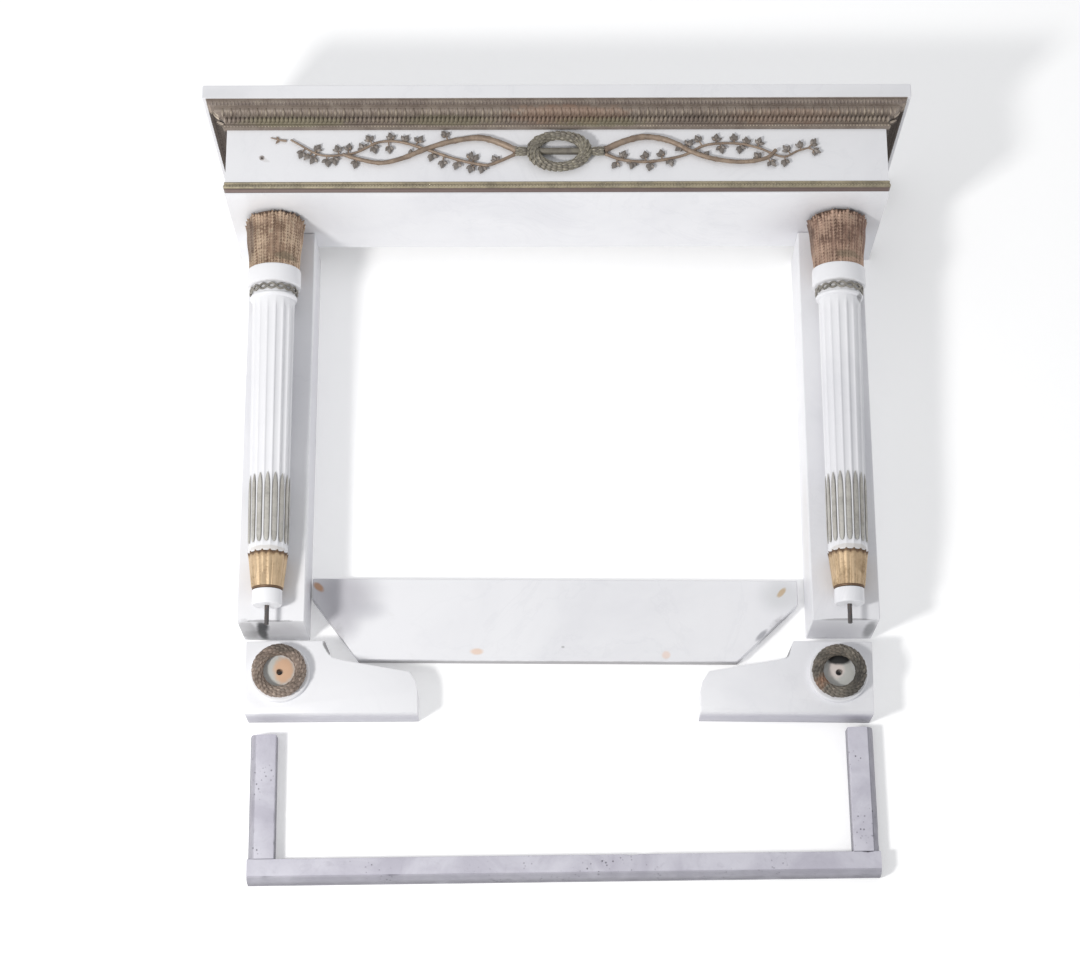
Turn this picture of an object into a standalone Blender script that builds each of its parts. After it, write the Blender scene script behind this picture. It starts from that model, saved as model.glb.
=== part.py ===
"""A marble chimneypiece with bronze mounts, taken apart and laid out on a floor.

The mantel lies on its back: X is across it, Y runs up it from the foot of the jambs, and Z is
up from the floor. The plinths stand below the jambs, the hearth slab lies between the jambs
and the three hearth bars lie below the plinths. Every size is in metres.
"""
import math

import bmesh
import bpy
from mathutils import Vector

GAP = 0.0003                # left between two pieces that touch
OVERRUN = 0.010             # how far a cutter runs past the face that it cuts
EDGE_WEAR = 0.0015          # width of the worn edges of the marble
WALL_SIDE = 0.001           # the mouldings stop this far from the wall side

SHELF_WIDTH = 1.398
SHELF_DEPTH = 0.366         # from the wall side, on the floor, up to the front edge
SHELF_THICK = 0.029
SHELF_TOP = 1.034           # distance from the foot of the jambs

JAMB_HEIGHT = 0.8167        # the soffit lies here
JAMB_OUTER = 0.620
JAMB_WIDTH = 0.130
JAMB_DEPTH = 0.1413

FRIEZE_HALF = 0.6520
FRIEZE_FRONT = 0.3260
FRIEZE_WALL = 0.030         # thickness of the front, the returns and the soffit
SOFFIT_BACK = 0.0707        # the soffit stops this far above the floor

REBATE_FOOT = 0.0025        # the bead moulding's groove in the frieze, measured up from the soffit
REBATE_TOP = 0.0255
REBATE_DEPTH = 0.0060
CORNICE_FOOT = 0.9550
CORNICE_REACH = 0.0395
TIP_HOLE = (-0.581, 0.0781)         # where a leaf was pinned to the frieze, up from the soffit
TIP_HOLE_RADIUS = 0.0022
TIP_HOLE_DEPTH = 0.008

COLUMN_FEET = {              # where each column's axis starts, and its slight turn
    "left": (-0.5585, 0.007),
    "right": (0.5575, -0.006),
}
CROWN_REACH = 0.0614        # the crown's largest radius, at its top
FEATHERS = 24
COLLAR_TOP = 0.7071
COLLAR_FOOT = 0.6691
BAND_FOOT = 0.6511
SHAFT_TOP = 0.6421
FERRULE_TOP = 0.1218
FERRULE_FOOT = 0.0513
FERRULE_REACH = 0.0385      # its largest radius, just under its top
FERRULE_LEAVES = 16
FERRULE_SEAT = (0.0235, 0.0300)     # the marble inside the ferrule, at its foot and its top
COLUMN_FOOT = 0.0214
COLLAR_RADIUS = 0.0532
CORE_RADIUS = 0.0420        # the marble inside the feather crown
BAND_SEAT = 0.0432
BAND_THICK = 0.0034
BAND_WAVES = 8
SHAFT_RADIUS_TOP = 0.0418
SHAFT_RADIUS_FOOT = 0.0380
FOOT_RADIUS = 0.0288
NECK_RADIUS = 0.0470        # the bead between the shaft and the twisted band
FLUTES = 16
FLUTE_DEPTH = 0.0024
HUSK_LENGTH = 0.139
HUSK_TOP = 0.2785
HUSK_WIDTH = 0.0054         # half its width and half its depth
HUSK_DEPTH = 0.0016
HUSKS = 11                  # on the front and the sides of a column; none lies against the jamb
PIN_RADIUS = 0.0045
PIN_END = -0.0163
PIN_HOLE = 0.0300           # depth of the hole in the column's foot

PLINTH_HEIGHT = 0.078
PLINTH_CORNERS = {           # each outer back corner, and the block's slight turn
    "left": (-0.608, -0.0225, 0.004),
    "right": (0.611, -0.0265, -0.014),
}
PLINTH_DEPTH = 0.1445
SEAT_RADIUS = 0.0580
SEAT_HEIGHT = 0.0120
SEAT_EDGE = 0.0040
SEAT_PLACE = (0.068, -0.0655)     # from the plinth's outer back corner
SEAT_HOLE_RADIUS = 0.0060
SEAT_HOLE_DEPTH = 0.0420
RING_RADIUS = 0.0412
RING_THICK = 0.0116

SLAB_THICK = 0.030
SLAB_SIDES = (-0.4860, 0.4750)
SLAB_ENDS = (0.0420, 0.0490)        # how far its square sides run forward from the back edge
SLAB_FRONT_CORNERS = (-0.3920, 0.3540)
SLAB_BACK = 0.1150
SLAB_FRONT = -0.0500
SLAB_X = -0.001
SLAB_TURN = -0.008

BAR_HEIGHT = 0.038
BAR_WIDTH = 0.0515
FRONT_BAR_WIDTH = 0.0460
BAR_MOULDING = (0.0120, 0.0260)     # the hollow moulding's width and height
BAR_CHAMFER = 0.0035
FRAME_WIDTH = 1.212
FRAME_X = 0.009
FRAME_Y = -0.4350           # the back edge of the front bar
SIDE_BAR_LENGTH = 0.2420
FRAME_TURN = 0.0105

FERRULE_REST = FERRULE_FOOT + 0.9 * (FERRULE_TOP - FERRULE_FOOT)
COLUMN_LEAN = math.atan((CROWN_REACH + GAP - FERRULE_REACH) / (JAMB_HEIGHT - FERRULE_REST))
COLUMN_Z = (JAMB_DEPTH + (FERRULE_REACH + GAP) * math.cos(COLUMN_LEAN)
            - FERRULE_REST * math.sin(COLUMN_LEAN))
COLUMN_TOP = (JAMB_HEIGHT - 3 * GAP) / math.cos(COLUMN_LEAN)

FRAME_LOWEST = FRAME_Y - FRONT_BAR_WIDTH - math.sin(FRAME_TURN) * FRAME_WIDTH / 2
LAYOUT_Y = -(SHELF_TOP + FRAME_LOWEST) / 2


def make_collection(name, parent=None):
    """Returns a new collection, linked under the scene or under another collection."""
    group = bpy.data.collections.new(name)
    (parent or bpy.context.scene.collection).children.link(group)
    return group


def make_material(name, colour, roughness, metallic=0.0):
    """Returns a plain surface with the piece's colour."""
    material = bpy.data.materials.new(name)
    material.use_nodes = True
    surface = material.node_tree.nodes["Principled BSDF"]
    surface.inputs["Base Color"].default_value = (*colour, 1.0)
    surface.inputs["Roughness"].default_value = roughness
    surface.inputs["Metallic"].default_value = metallic
    return material


def place(name, mesh, group, parent=None, location=(0, 0, 0), rotation=(0, 0, 0)):
    """Adds a mesh to the model as a named object."""
    mesh.name = name
    piece = bpy.data.objects.new(name, mesh)
    piece.parent = parent
    piece.location = location
    piece.rotation_euler = rotation
    group.objects.link(piece)
    return piece


def box_mesh(low, high):
    """Returns a box between two corners."""
    cage = bmesh.new()
    bmesh.ops.create_cube(cage, size=1.0)
    size = Vector(high) - Vector(low)
    middle = (Vector(high) + Vector(low)) / 2
    bmesh.ops.scale(cage, vec=size, verts=cage.verts)
    bmesh.ops.translate(cage, vec=middle, verts=cage.verts)
    mesh = bpy.data.meshes.new("box")
    cage.to_mesh(mesh)
    cage.free()
    return mesh


def face_outwards(cage):
    """Makes a closed body's faces point out of it."""
    bmesh.ops.recalc_face_normals(cage, faces=cage.faces)
    if cage.calc_volume(signed=True) < 0:
        bmesh.ops.reverse_faces(cage, faces=cage.faces)


def mesh_from_curve(curve):
    """Turns a curve into a mesh whose caps are welded, and removes the curve."""
    holder = bpy.data.objects.new("holder", curve)
    bpy.context.scene.collection.objects.link(holder)
    evaluated = holder.evaluated_get(bpy.context.evaluated_depsgraph_get())
    mesh = bpy.data.meshes.new_from_object(evaluated)
    cage = bmesh.new()
    cage.from_mesh(mesh)
    bmesh.ops.remove_doubles(cage, verts=cage.verts, dist=0.00005)
    face_outwards(cage)
    cage.to_mesh(mesh)
    cage.free()
    mesh.materials.clear()
    bpy.data.objects.remove(holder)
    bpy.data.curves.remove(curve)
    return mesh


def slab_mesh(outline, thickness):
    """Returns an outline filled and raised from z = 0 to the thickness."""
    curve = bpy.data.curves.new("outline", "CURVE")
    curve.dimensions = "2D"
    curve.fill_mode = "BOTH"
    curve.extrude = thickness / 2
    spline = curve.splines.new("POLY")
    spline.points.add(len(outline) - 1)
    for point, (x, y) in zip(spline.points, outline):
        point.co = (x, y, 0.0, 1.0)
    spline.use_cyclic_u = True
    mesh = mesh_from_curve(curve)
    for vertex in mesh.vertices:
        vertex.co.z += thickness / 2
    return mesh


def wire_mesh(points, radius, sides, cyclic=False):
    """Returns a round wire through the points; its radius may be one value or one for each point."""
    curve = bpy.data.curves.new("wire", "CURVE")
    curve.dimensions = "3D"
    curve.bevel_depth = 1.0
    curve.bevel_resolution = max(0, (sides - 4) // 2)
    curve.use_fill_caps = not cyclic
    spline = curve.splines.new("POLY")
    spline.points.add(len(points) - 1)
    radii = radius if isinstance(radius, (list, tuple)) else [radius] * len(points)
    for point, place_at, reach in zip(spline.points, points, radii):
        point.co = (*place_at, 1.0)
        point.radius = reach
    spline.use_cyclic_u = cyclic
    return mesh_from_curve(curve)


def smooth_path(points, steps):
    """Returns points on a smooth curve through the given ones, `steps` to each stretch."""
    ends = [points[0], *points, points[-1]]
    path = []
    for a, b, c, d in zip(ends, ends[1:], ends[2:], ends[3:]):
        for step in range(steps):
            t = step / steps
            path.append(tuple(
                0.5 * (2 * q + (r - p) * t + (2 * p - 5 * q + 4 * r - s) * t * t
                       + (3 * q - p - 3 * r + s) * t ** 3)
                for p, q, r, s in zip(a, b, c, d)))
    path.append(tuple(points[-1]))
    return path


def lofted_mesh(rings, hollow=False):
    """Joins rings of equally many points, stacked along +Z, into one closed body.

    A hollow body's last ring is joined to its first one, so it is a sleeve with an open bore.
    """
    cage = bmesh.new()
    loops = [[cage.verts.new(point) for point in ring] for ring in rings]
    pairs = list(zip(loops, loops[1:]))
    if hollow:
        pairs.append((loops[-1], loops[0]))
    for low, high in pairs:
        count = len(low)
        for index in range(count):
            after = (index + 1) % count
            cage.faces.new((low[index], low[after], high[after], high[index]))
    if not hollow:
        cage.faces.new(loops[0])
        cage.faces.new(loops[-1])
    face_outwards(cage)
    mesh = bpy.data.meshes.new("loft")
    cage.to_mesh(mesh)
    cage.free()
    return mesh


def ring_at(height, count, radius_at, slant=0.0):
    """Returns a ring of points whose radius follows a function of the angle.

    A slant tips the ring along Y, so that it ends against a plane that isn't square to its axis.
    """
    ring = []
    for index in range(count):
        angle = 2 * math.pi * index / count
        x = radius_at(angle) * math.cos(angle)
        y = radius_at(angle) * math.sin(angle)
        ring.append((x, y, height - slant * y))
    return ring


def turned(group, name, profile, steps, parent=None, location=(0, 0, 0), rotation=(0, 0, 0)):
    """Turns a profile about Z; its points run down the outer side from the top to the bottom."""
    mesh = bpy.data.meshes.new(name)
    points = [(radius, 0.0, height) for radius, height in profile]
    edges = [(index, index + 1) for index in range(len(points) - 1)]
    mesh.from_pydata(points, edges, [])
    piece = place(name, mesh, group, parent, location, rotation)
    screw = piece.modifiers.new("turn", "SCREW")
    screw.steps = steps
    screw.render_steps = steps
    screw.use_merge_vertices = True
    screw.merge_threshold = 0.00002
    return piece


def moulding_mesh(section, half_width, front, wall):
    """Runs a section along both returns and the front, mitred at the two corners.

    The section's points are (distance out, height); the returns start `wall` above the floor.
    """
    stations = [(-1, None), (-1, front), (1, front), (1, None)]
    cage = bmesh.new()
    loops = []
    for side, level in stations:
        loops.append([
            cage.verts.new((side * (half_width + out), height, wall if level is None else level + out))
            for out, height in section])
    count = len(section)
    for low, high in zip(loops, loops[1:]):
        for index in range(count):
            after = (index + 1) % count
            cage.faces.new((low[index], low[after], high[after], high[index]))
    cage.faces.new(loops[0])
    cage.faces.new(loops[-1])
    face_outwards(cage)
    mesh = bpy.data.meshes.new("moulding")
    cage.to_mesh(mesh)
    cage.free()
    return mesh


def combine(piece, operation, cutter):
    """Cuts or joins with another object, which is then only a guide."""
    cutter.hide_render = True
    cutter.display_type = "WIRE"
    change = piece.modifiers.new(cutter.name, "BOOLEAN")
    change.operation = operation
    change.solver = "EXACT"
    change.object = cutter


def combine_all(piece, cutters):
    """Joins every object of a collection to the piece, one after another."""
    for cutter in cutters.objects:
        combine(piece, "UNION", cutter)


def soften(piece, width):
    """Takes the sharpness off the edges."""
    bevel = piece.modifiers.new("edges", "BEVEL")
    bevel.width = width
    bevel.segments = 1
    bevel.limit_method = "ANGLE"
    bevel.angle_limit = math.radians(40)


def shade_round(piece):
    """Shades a round piece smooth, with its real edges sharp."""
    piece.data.shade_smooth()
    piece.data.set_sharp_from_angle(angle=math.radians(35))


def dress(piece, material):
    """Gives a piece its surface."""
    piece.data.materials.append(material)


def make_shelf(group, layout, marble):
    """The shelf is one slab with a square, slightly worn edge."""
    half = SHELF_WIDTH / 2
    mesh = box_mesh((-half, SHELF_TOP - SHELF_THICK, 0), (half, SHELF_TOP, SHELF_DEPTH))
    shelf = place("shelf", mesh, group, layout)
    soften(shelf, EDGE_WEAR)
    dress(shelf, marble)


def cornice_section():
    """The cornice's section: fillet, leaf row, leafy cyma, narrow soffit and top fillet."""
    top = SHELF_TOP - SHELF_THICK - GAP
    foot = CORNICE_FOOT
    height = top - foot
    outer = [(0.0045, 0.0), (0.0075, 0.05), (0.0075, 0.19), (0.0050, 0.23)]
    steps = 6
    for step in range(steps + 1):
        t = step / steps
        rise = 0.27 + 0.45 * t
        reach = 0.0060 + 0.0200 * (t - math.sin(2 * math.pi * t) / (2 * math.pi))
        outer.append((reach, rise))
    outer += [(0.0260, 0.77), (0.9 * CORNICE_REACH, 0.82), (CORNICE_REACH, 0.88), (CORNICE_REACH, 1.0)]
    return [(GAP, foot), *((reach, foot + rise * height) for reach, rise in outer), (GAP, top)]


def make_cornice(group, layout, bronze):
    """The bronze cornice runs under the shelf, round both ends back to the wall."""
    mesh = moulding_mesh(cornice_section(), FRIEZE_HALF, FRIEZE_FRONT, WALL_SIDE)
    cornice = place("cornice_moulding", mesh, group, layout)
    dress(cornice, bronze)


def make_frieze(group, cutters, layout, marble):
    """The frieze block: front, two returns and a soffit, open behind and under the shelf."""
    top = SHELF_TOP - SHELF_THICK - GAP
    inner = FRIEZE_HALF - FRIEZE_WALL
    outside = box_mesh((-FRIEZE_HALF, JAMB_HEIGHT, 0), (FRIEZE_HALF, top, FRIEZE_FRONT))
    frieze = place("frieze_block", outside, group, layout)
    deep = FRIEZE_HALF - REBATE_DEPTH
    far = FRIEZE_HALF + OVERRUN
    low = JAMB_HEIGHT + REBATE_FOOT
    high = JAMB_HEIGHT + REBATE_TOP
    soffit_top = JAMB_HEIGHT + FRIEZE_WALL
    fore = FRIEZE_FRONT + OVERRUN
    cuts = {
        "frieze_hollow": ((-inner, soffit_top, -OVERRUN), (inner, top + OVERRUN, FRIEZE_FRONT - FRIEZE_WALL)),
        "frieze_notch": ((-inner, JAMB_HEIGHT - OVERRUN, -OVERRUN),
                         (inner, soffit_top + OVERRUN, SOFFIT_BACK)),
        "rebate_front": ((-far, low, FRIEZE_FRONT - REBATE_DEPTH), (far, high, fore)),
        "rebate_left": ((-far, low, -OVERRUN), (-deep, high, fore)),
        "rebate_right": ((deep, low, -OVERRUN), (far, high, fore)),
    }
    for name, corners in cuts.items():
        combine(frieze, "DIFFERENCE", place(name, box_mesh(*corners), cutters, layout))
    hole = turned(cutters, "lost_tip_hole", [
        (0, OVERRUN), (TIP_HOLE_RADIUS, OVERRUN), (TIP_HOLE_RADIUS, -TIP_HOLE_DEPTH), (0, -TIP_HOLE_DEPTH)],
        8, layout, (TIP_HOLE[0], JAMB_HEIGHT + TIP_HOLE[1], FRIEZE_FRONT))
    combine(frieze, "DIFFERENCE", hole)
    dress(frieze, marble)


def bead_section():
    """The bead moulding's section: flat back, a half-round for the beads, a hollow foot."""
    foot = JAMB_HEIGHT + REBATE_FOOT + GAP
    top = JAMB_HEIGHT + REBATE_TOP - GAP
    points = [(-REBATE_DEPTH + GAP, foot), (-REBATE_DEPTH + GAP, top), (0.0010, top), (0.0010, top - 0.003)]
    middle = top - 0.0085
    for step in range(5):
        angle = math.pi / 2 - math.pi * step / 4
        points.append((0.0008 + 0.0040 * math.cos(angle), middle + 0.0050 * math.sin(angle)))
    points += [(0.0010, foot + 0.0070), (-0.0015, foot + 0.0045), (-0.0030, foot + 0.0015), (-0.0030, foot)]
    return points


def make_bead_moulding(group, layout, bronze):
    """The bead moulding fills the rebate along the foot of the frieze and its returns."""
    mesh = moulding_mesh(bead_section(), FRIEZE_HALF, FRIEZE_FRONT, WALL_SIDE)
    moulding = place("frieze_bead_moulding", mesh, group, layout)
    dress(moulding, bronze)


def make_jambs(group, layout, marble):
    """Each jamb is a plain square post from the foot to the soffit."""
    for side, word in ((-1, "left"), (1, "right")):
        edges = sorted((side * JAMB_OUTER, side * (JAMB_OUTER - JAMB_WIDTH)))
        mesh = box_mesh((edges[0], 0, 0), (edges[1], JAMB_HEIGHT - GAP, JAMB_DEPTH))
        jamb = place(f"jamb_{word}", mesh, group, layout)
        soften(jamb, EDGE_WEAR)
        dress(jamb, marble)


WREATH_PLACE = (0.0045, 0.9030)
WREATH_SIZE = (0.0505, 0.0335)      # half sizes of the oval that the garland follows
WREATH_RADII = (0.0100, 0.0135)     # above and below, and at the sides
WREATH_STEM = (-0.0740, -0.0400, 0.0400, 0.0880)
STEM_RADIUS = 0.0072


def make_wreath(group, cutters, layout, bronze):
    """An oval laurel garland with a straight stem tied across it."""
    count = 24
    middle_x, middle_y = WREATH_PLACE
    slim, stout = WREATH_RADII
    oval = []
    radii = []
    for index in range(count):
        angle = 2 * math.pi * index / count
        radius = slim + (stout - slim) * math.cos(angle) ** 2
        radii.append(radius)
        oval.append((
            middle_x + WREATH_SIZE[0] * math.cos(angle),
            middle_y + WREATH_SIZE[1] * math.sin(angle),
            FRIEZE_FRONT + GAP + radius))
    wreath = place("frieze_wreath", wire_mesh(oval, radii, 8, cyclic=True), group, layout)
    stem = [(x, middle_y, FRIEZE_FRONT + GAP + slim) for x in WREATH_STEM]
    ends = 0.8 * STEM_RADIUS
    stem_mesh = wire_mesh(stem, [ends, STEM_RADIUS, STEM_RADIUS, ends], 8)
    bar = place("wreath_stem", stem_mesh, cutters, layout)
    combine(wreath, "UNION", bar)
    shade_round(wreath)
    dress(wreath, bronze)


# Each branch is drawn from the wreath outwards, in metres from the middle and up from the soffit.
THICK_LEFT = [(-0.079, 0.0895), (-0.116, 0.1075), (-0.154, 0.1175), (-0.207, 0.1100), (-0.258, 0.0935),
              (-0.305, 0.0730), (-0.346, 0.0635), (-0.388, 0.0710), (-0.421, 0.0820)]
THIN_LEFT = [(-0.081, 0.0830), (-0.128, 0.0610), (-0.150, 0.0600), (-0.201, 0.0727), (-0.258, 0.0935),
             (-0.310, 0.1100), (-0.353, 0.1085), (-0.398, 0.0860), (-0.445, 0.0799), (-0.473, 0.0843),
             (-0.507, 0.1040), (-0.525, 0.1150)]
LEAVES_LEFT = [(-0.124, 0.0740), (-0.147, 0.0480), (-0.161, 0.0780), (-0.170, 0.0820), (-0.169, 0.0490),
               (-0.197, 0.0560), (-0.226, 0.0600), (-0.221, 0.1290), (-0.246, 0.0740), (-0.270, 0.1180),
               (-0.298, 0.1200), (-0.290, 0.0870), (-0.327, 0.1245), (-0.330, 0.0920), (-0.357, 0.0920),
               (-0.371, 0.1200), (-0.385, 0.1020), (-0.399, 0.0600), (-0.412, 0.1010), (-0.432, 0.0980),
               (-0.452, 0.0630), (-0.437, 0.0660), (-0.470, 0.0990), (-0.491, 0.0750), (-0.506, 0.0820),
               (-0.482, 0.0690)]
TIP_LEFT = [(-0.5335, 0.1135), (-0.548, 0.1155), (-0.565, 0.1205)]
THICK_RIGHT = [(0.093, 0.0900), (0.130, 0.1080), (0.169, 0.1185), (0.205, 0.1150), (0.235, 0.1040),
               (0.263, 0.0876), (0.306, 0.0714), (0.362, 0.0640), (0.410, 0.0711), (0.432, 0.0900)]
THIN_RIGHT = [(0.095, 0.0830), (0.124, 0.0710), (0.158, 0.0660), (0.195, 0.0670), (0.249, 0.0790),
              (0.293, 0.1010), (0.350, 0.1050), (0.395, 0.0960), (0.444, 0.0760), (0.474, 0.0880),
              (0.500, 0.0960)]
LEAVES_RIGHT = [(0.114, 0.0567), (0.132, 0.0840), (0.146, 0.0570), (0.174, 0.0828), (0.183, 0.0530),
                (0.205, 0.0860), (0.223, 0.0620), (0.240, 0.0930), (0.263, 0.1090), (0.277, 0.1170),
                (0.293, 0.0850), (0.315, 0.1200), (0.325, 0.0900), (0.350, 0.1200), (0.362, 0.0900),
                (0.376, 0.1130), (0.395, 0.0810), (0.402, 0.1110), (0.425, 0.0590), (0.449, 0.0610),
                (0.452, 0.0960), (0.478, 0.1040), (0.509, 0.1080), (0.513, 0.0860)]
THICK_RADII = (0.0062, 0.0034)      # at the wreath and at the outer end
THIN_RADII = (0.0034, 0.0019)
THIN_LIFT = 0.0045                  # the thin stem's height above the frieze
TIP_RADII = (0.0028, 0.0022, 0.0010)
LEAF_SIZE = (0.0098, 0.0062, 0.0044)


def on_frieze(points, lift):
    """Returns drawn points as places just above the frieze's face."""
    return [(x, JAMB_HEIGHT + y, FRIEZE_FRONT + 2 * GAP + lift) for x, y in points]


def tapered(count, radii):
    """Returns a radius for each of `count` points between two end radii."""
    start, end = radii
    return [start + (end - start) * index / (count - 1) for index in range(count)]


def leaf_mesh(root, middle):
    """Returns a small leaf about its middle, with a tail drawn out to its root in the stem."""
    cage = bmesh.new()
    bmesh.ops.create_icosphere(cage, subdivisions=1, radius=1.0)
    along = (middle - root).normalized()
    across = Vector((-along.y, along.x, 0))
    length, width, height = LEAF_SIZE
    for vertex in cage.verts:
        x, y, z = vertex.co
        if z < -0.9:
            vertex.co = root
        else:
            vertex.co = middle + along * z * length + across * x * width + Vector((0, 0, y * height))
    mesh = bpy.data.meshes.new("leaf")
    cage.to_mesh(mesh)
    cage.free()
    return mesh


def make_branch(group, cutters, layout, bronze, word, drawing):
    """One wavy main stem, a thin stem that crosses it, and leaves that grow from both."""
    thick_points, thin_points, leaves = drawing
    thick = smooth_path(on_frieze(thick_points, THICK_RADII[0]), 2)
    thin = smooth_path(on_frieze(thin_points, THIN_LIFT), 2)
    thick_mesh = wire_mesh(thick, tapered(len(thick), THICK_RADII), 6)
    branch = place(f"frieze_branch_{word}", thick_mesh, group, layout)
    stem = place(f"thin_stem_{word}", wire_mesh(thin, tapered(len(thin), THIN_RADII), 4), cutters, layout)
    combine(branch, "UNION", stem)
    growth = make_collection(f"branch_{word}_leaves", cutters)
    stems = [Vector(point) for point in (*thick[1:-1], *thin[1:-1])]
    for index, spot in enumerate(on_frieze(leaves, LEAF_SIZE[2])):
        middle = Vector(spot)
        root = min(stems, key=lambda point: (point - middle).length)
        place(f"leaf_{word}_{index}", leaf_mesh(root, middle), growth, layout)
    combine_all(branch, growth)
    dress(branch, bronze)


def make_spray(group, cutters, layout, bronze):
    """Both branches of the frieze, and the left one's outer tip, which has come apart from it."""
    make_branch(group, cutters, layout, bronze, "left", (THICK_LEFT, THIN_LEFT, LEAVES_LEFT))
    make_branch(group, cutters, layout, bronze, "right", (THICK_RIGHT, THIN_RIGHT, LEAVES_RIGHT))
    tip = wire_mesh(on_frieze(TIP_LEFT, TIP_RADII[0]), TIP_RADII, 4)
    dress(place("frieze_branch_left_tip", tip, group, layout), bronze)


def shaft_radius(height):
    """The shaft's radius at a height, over its gentle taper."""
    share = (height - FERRULE_TOP) / (SHAFT_TOP - FERRULE_TOP)
    return SHAFT_RADIUS_FOOT + (SHAFT_RADIUS_TOP - SHAFT_RADIUS_FOOT) * share


def fluted_ring(height, depth):
    """Returns a ring of the shaft, with a groove of the given depth at each flute."""
    radius = shaft_radius(height)

    def radius_at(angle):
        return radius if round(angle * FLUTES / math.pi) % 2 else radius - depth
    return ring_at(height, 2 * FLUTES, radius_at)


def column_rings():
    """The marble column's rings from the foot to the soffit, with flutes in the shaft."""
    round_edge = 0.003
    below = [
        (COLUMN_FOOT, FOOT_RADIUS - round_edge), (COLUMN_FOOT + round_edge, FOOT_RADIUS),
        (FERRULE_FOOT - GAP, FOOT_RADIUS), (FERRULE_FOOT, FERRULE_SEAT[0]), (FERRULE_TOP, FERRULE_SEAT[1]),
        (FERRULE_TOP + GAP, SHAFT_RADIUS_FOOT)]
    above = [
        (SHAFT_TOP, SHAFT_RADIUS_TOP), (SHAFT_TOP + GAP, NECK_RADIUS), (BAND_FOOT - GAP, NECK_RADIUS),
        (BAND_FOOT, BAND_SEAT), (COLLAR_FOOT, BAND_SEAT), (COLLAR_FOOT + round_edge, COLLAR_RADIUS),
        (COLLAR_TOP - GAP - round_edge, COLLAR_RADIUS), (COLLAR_TOP - GAP, COLLAR_RADIUS - round_edge),
        (COLLAR_TOP + GAP, CORE_RADIUS)]
    end = 0.0080
    low = FERRULE_TOP + end
    high = SHAFT_TOP - end
    rings = [ring_at(height, 2 * FLUTES, lambda a, r=radius: r) for height, radius in below]
    rings += [fluted_ring(low, 0.0), fluted_ring(low + end, FLUTE_DEPTH),
              fluted_ring(high - end, FLUTE_DEPTH), fluted_ring(high, 0.0)]
    rings += [ring_at(height, 2 * FLUTES, lambda a, r=radius: r) for height, radius in above]
    rings.append(ring_at(COLUMN_TOP, 2 * FLUTES, lambda a: CORE_RADIUS, math.tan(COLUMN_LEAN)))
    return rings


def make_feather_crown(group, column, bronze, word):
    """Upright feathers stand round the top of the quiver; their tips end against the soffit."""
    count = 2 * FEATHERS
    slant = math.tan(COLUMN_LEAN)
    outer = [
        (COLLAR_TOP + GAP, 0.0490, 0.0017, 0.0),
        (COLLAR_TOP + 0.060, 0.0564, 0.0032, 0.5 * slant),
        (COLUMN_TOP - 0.012, CROWN_REACH - 0.0004, 0.0037, slant),
        (COLUMN_TOP - 0.002, CROWN_REACH, 0.0061, slant)]
    inner = [
        (COLUMN_TOP, CORE_RADIUS + 0.0033, slant),
        (COLLAR_TOP + 3 * GAP, CORE_RADIUS + 2 * GAP, 0.0)]

    def feather_ring(height, radius, groove, tip):
        def radius_at(angle):
            return radius if round(angle * FEATHERS / math.pi) % 2 else radius - groove
        return ring_at(height, count, radius_at, tip)

    rings = [feather_ring(*row) for row in outer]
    rings += [ring_at(height, count, lambda a, r=radius: r, tip) for height, radius, tip in inner]
    crown = place(f"feather_crown_{word}", lofted_mesh(rings, hollow=True), group, column)
    dress(crown, bronze)


def make_ferrule(group, column, bronze, word):
    """A cup of upright leaves closes the lower end of the quiver."""
    count = 2 * FERRULE_LEAVES
    height = FERRULE_TOP - FERRULE_FOOT - 2 * GAP
    foot = FERRULE_FOOT + GAP
    outer = [
        (0.0, FOOT_RADIUS, 0.0016), (0.60, 0.92 * FERRULE_REACH, 0.0026),
        (0.90, FERRULE_REACH, 0.0029), (1.0, 0.98 * FERRULE_REACH, 0.0039)]
    inner = [(1.0, FERRULE_SEAT[1] + 0.0022), (0.0, FERRULE_SEAT[0] + 0.0013)]

    def leaf_ring(share, radius, groove):
        def radius_at(angle):
            return radius if round(angle * FERRULE_LEAVES / math.pi) % 2 else radius - groove
        return ring_at(foot + share * height, count, radius_at)

    rings = [leaf_ring(*row) for row in outer]
    rings += [ring_at(foot + share * height, count, lambda a, r=radius: r) for share, radius in inner]
    ferrule = place(f"ferrule_{word}", lofted_mesh(rings, hollow=True), group, column)
    dress(ferrule, bronze)


def make_guilloche(group, column, bronze, word):
    """The twisted bronze band round the neck: a sleeve whose edges wave with the twist."""
    count = 4 * BAND_WAVES
    middle = (COLLAR_FOOT + BAND_FOOT) / 2
    half = 0.0066
    wave = 0.0015
    bore = BAND_SEAT + 2 * GAP
    edge = bore + 0.4 * BAND_THICK

    def wavy_ring(lift, radius):
        ring = []
        for index in range(count):
            angle = 2 * math.pi * index / count
            height = middle + lift * (half + wave * math.cos(BAND_WAVES * angle))
            ring.append((radius * math.cos(angle), radius * math.sin(angle), height))
        return ring

    rings = [wavy_ring(-1, edge), wavy_ring(0, bore + BAND_THICK), wavy_ring(1, edge),
             wavy_ring(1, bore), wavy_ring(-1, bore)]
    band = place(f"guilloche_band_{word}", lofted_mesh(rings, hollow=True), group, column)
    dress(band, bronze)


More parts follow.
